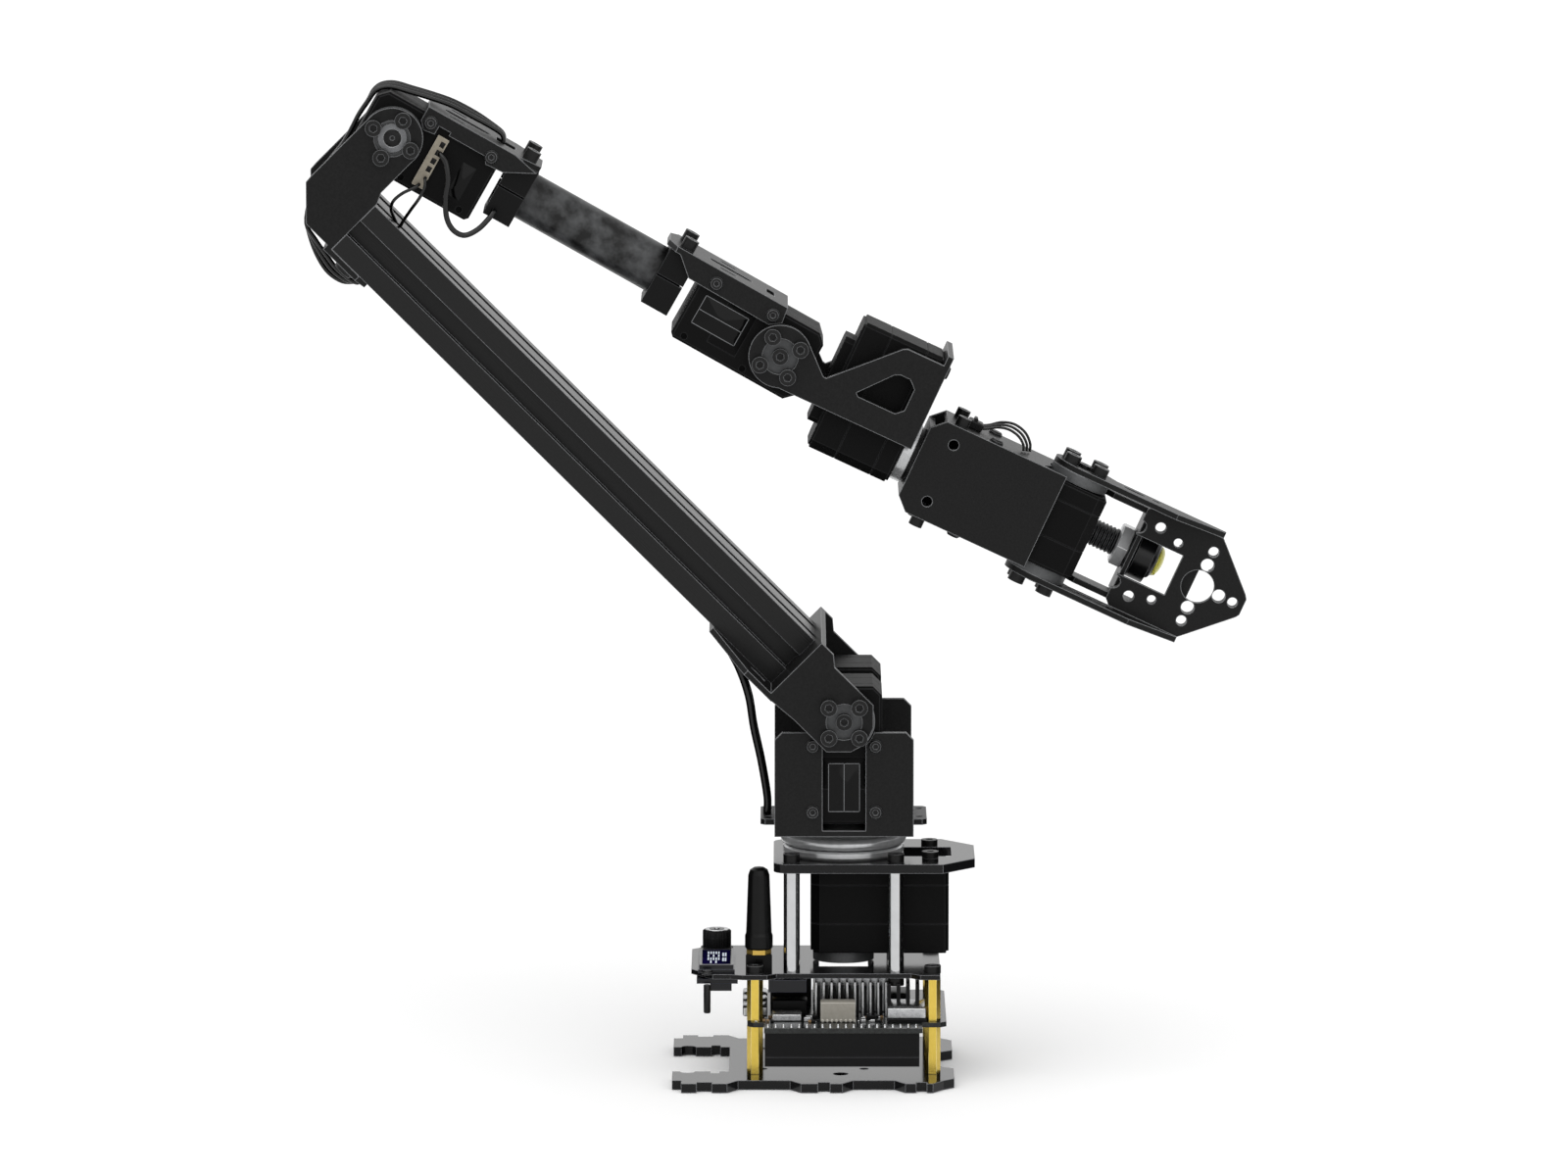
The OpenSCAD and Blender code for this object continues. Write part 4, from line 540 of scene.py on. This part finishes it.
near_shoulder = np.array([[0, 0, -1], [1, 0, 0], [0, -1, 0]], float)
blank_label("shoulder_label", "turret", near_shoulder, (0, -0.0346, joint["shoulder"][2] - FROM_SHAFT))
wrist_case = np.array([-FOREARM[0], -FOREARM[2], [0, -1, 0]])
blank_label("wrist_label", "forearm", wrist_case, joint["wrist_pitch"] - FROM_SHAFT * FOREARM[0] + near_face)
elbow_case = np.array([FOREARM[0], FOREARM[2], [0, -1, 0]])
rounded("elbow_recess", [block((24.0, -7.6, 0), (28.8, 4.1, 0.06), 0.02)], material=label_film,
        body="forearm", turn=elbow_case, origin=joint["elbow"] + near_face)
ports = [(14.5, -4.2 + 3.0 * k, 1.61) for k in range(4)]
rounded("cable_ports", [repeat(block((0, 0, 0), (1.6, 1.9, 0.04), 0.01), ports)], material=label_film,
        body="forearm", turn=elbow_case, origin=joint["elbow"] + near_face)

# Hub of the elbow's near horn, and the screw in it
towards = np.array([[1, 0, 0], [0, 0, 1], [0, -1, 0]], float)
at_elbow = (joint["elbow"][0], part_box("elbow_horns")[0][1], joint["elbow"][2])
rounded("elbow_hub", [lathe([(4.9, 0), (4.7, 0.25), (2.9, 0.3), (2.9, 0.0)], 40)], material=hub_grey,
        body="upper_arm", turn=towards, origin=at_elbow)
rounded("elbow_hub_screw", [lathe([(2.85, 0), (2.85, 0.16), (2.5, 0.3), (0.8, 0.3), (0.7, 0.12)], 40)],
        material=black_oxide, body="upper_arm", turn=towards, origin=at_elbow)

# Hand: the plug and thin wires on its top, and the lamp's nut and lens
ROLL = joint["wrist_roll"] - 0.05305 * HAND[0]
HAND_TOP, PLUG_U = 16.36, 70.7
rounded("hand_plug", [block((PLUG_U - 5, -4, HAND_TOP), (PLUG_U, 4, HAND_TOP + 2.6), 0.3),
                      block((PLUG_U - 3.6, -3.2, HAND_TOP + 2.5), (PLUG_U - 2.4, 3.2, HAND_TOP + 3.6), 0.2)],
        material=header_nylon, body="hand", turn=HAND, origin=ROLL)
wire = np.array([[-0.3, 0, 1.4], [1.8, 0, 2.5], [4.8, 0, 4.6], [8.6, 0, 5.6], [12.6, 0, 4.8], [15.4, 0, 2.6],
                 [16.4, 0, 0.4]])
wires = [tube(wire * [1 + 0.07 * k, 1, 1 + 0.16 * k] + [PLUG_U, 2.4 * k, HAND_TOP], 0.45, sides=10)
         for k in (-1, 0, 1)]
piece("hand_wires", wires, sheath, body="hand", turn=HAND, origin=ROLL)
LAMP_U, LAMP_Y = 133.8, 0.016
lamp_turn = np.array([[0, 1, 0], HAND[2], HAND[0]])
lamp_at = ROLL + np.array([0, LAMP_Y, 0])
nut_low, nut_high = LAMP_U - 6.3, LAMP_U - 1.7
rounded("lamp_nut", [lathe([(6.9, nut_low), (7.7, nut_low + 0.5), (7.7, nut_high - 0.5), (6.9, nut_high)], 6)],
        material=nickel, body="hand", turn=lamp_turn, origin=lamp_at)
lens = [(5.2, 8.3), (5.1, 8.9), (4.5, 9.7), (3.4, 10.3), (1.8, 10.7), (0.4, 10.8)]
piece("lamp_lens", [lathe([(r, LAMP_U + h) for r, h in lens], 40)], lens_yellow, body="hand", turn=lamp_turn,
      origin=lamp_at)

# Studio floor and light
floor_white = surface("studio_floor", "#ffffff", 0.9, specular=0.0)
corners = np.array([[-9, -9, -0.0002], [9, -9, -0.0002], [9, 12, -0.0002], [-9, 12, -0.0002]]) * 1000
floor = piece("floor", [(corners, np.array([[0, 1, 2, 3]]), np.zeros((0, 3), int))], floor_white, smooth=False)

world = bpy.data.worlds.new("studio")
scene.world = world
world.use_nodes = True
sky = world.node_tree
sky.nodes.clear()
path = node(sky, "ShaderNodeLightPath")
seen = node(sky, "ShaderNodeMath", [(0, path.outputs["Is Camera Ray"]), (1, path.outputs["Is Glossy Ray"])],
            operation="MAXIMUM")
seen = node(sky, "ShaderNodeMath", [(0, seen.outputs[0]), (1, path.outputs["Is Transmission Ray"])],
            operation="MAXIMUM")
light = node(sky, "ShaderNodeBackground", Color=(1, 1, 1, 1), Strength=0.72)
white = node(sky, "ShaderNodeBackground", Color=(1, 1, 1, 1), Strength=1.0)
both = node(sky, "ShaderNodeMixShader", [(0, seen.outputs[0]), (1, light.outputs[0]), (2, white.outputs[0])])
node(sky, "ShaderNodeOutputWorld", [("Surface", both.outputs[0])])


def sun(name, energy, turn, width):
    """A wide, soft lamp from far away, turned by degrees about X, Y and Z."""
    data = bpy.data.lights.new(name, "SUN")
    data.energy, data.angle = energy, math.radians(width)
    obj = bpy.data.objects.new(name, data)
    scene.collection.objects.link(obj)
    obj.rotation_euler = [math.radians(a) for a in turn]


def reflected_card(name, x, y_low, y_high, height):
    """A dark upright card beside the base, which shows only in reflections."""
    points = np.array([[x, y_low, 0.001], [x, y_high, 0.001], [x, y_high, height], [x, y_low, height]]) * 1000.0
    card = piece(name, [(points, np.array([[0, 1, 2, 3]]), np.zeros((0, 3), int))], card_grey, smooth=False)
    card.visible_camera = card.visible_diffuse = card.visible_shadow = card.visible_transmission = False


card_grey = surface("studio_card", "#141414", 0.9, specular=0.0)
reflected_card("left_card", -0.12, -0.06, 0.5, 0.12)
reflected_card("right_card", 0.12, -0.1, 0.5, 0.12)
sun("overhead", 1.15, (24, -14, 0), 60)
sun("front", 0.55, (72, 0, 28), 60)
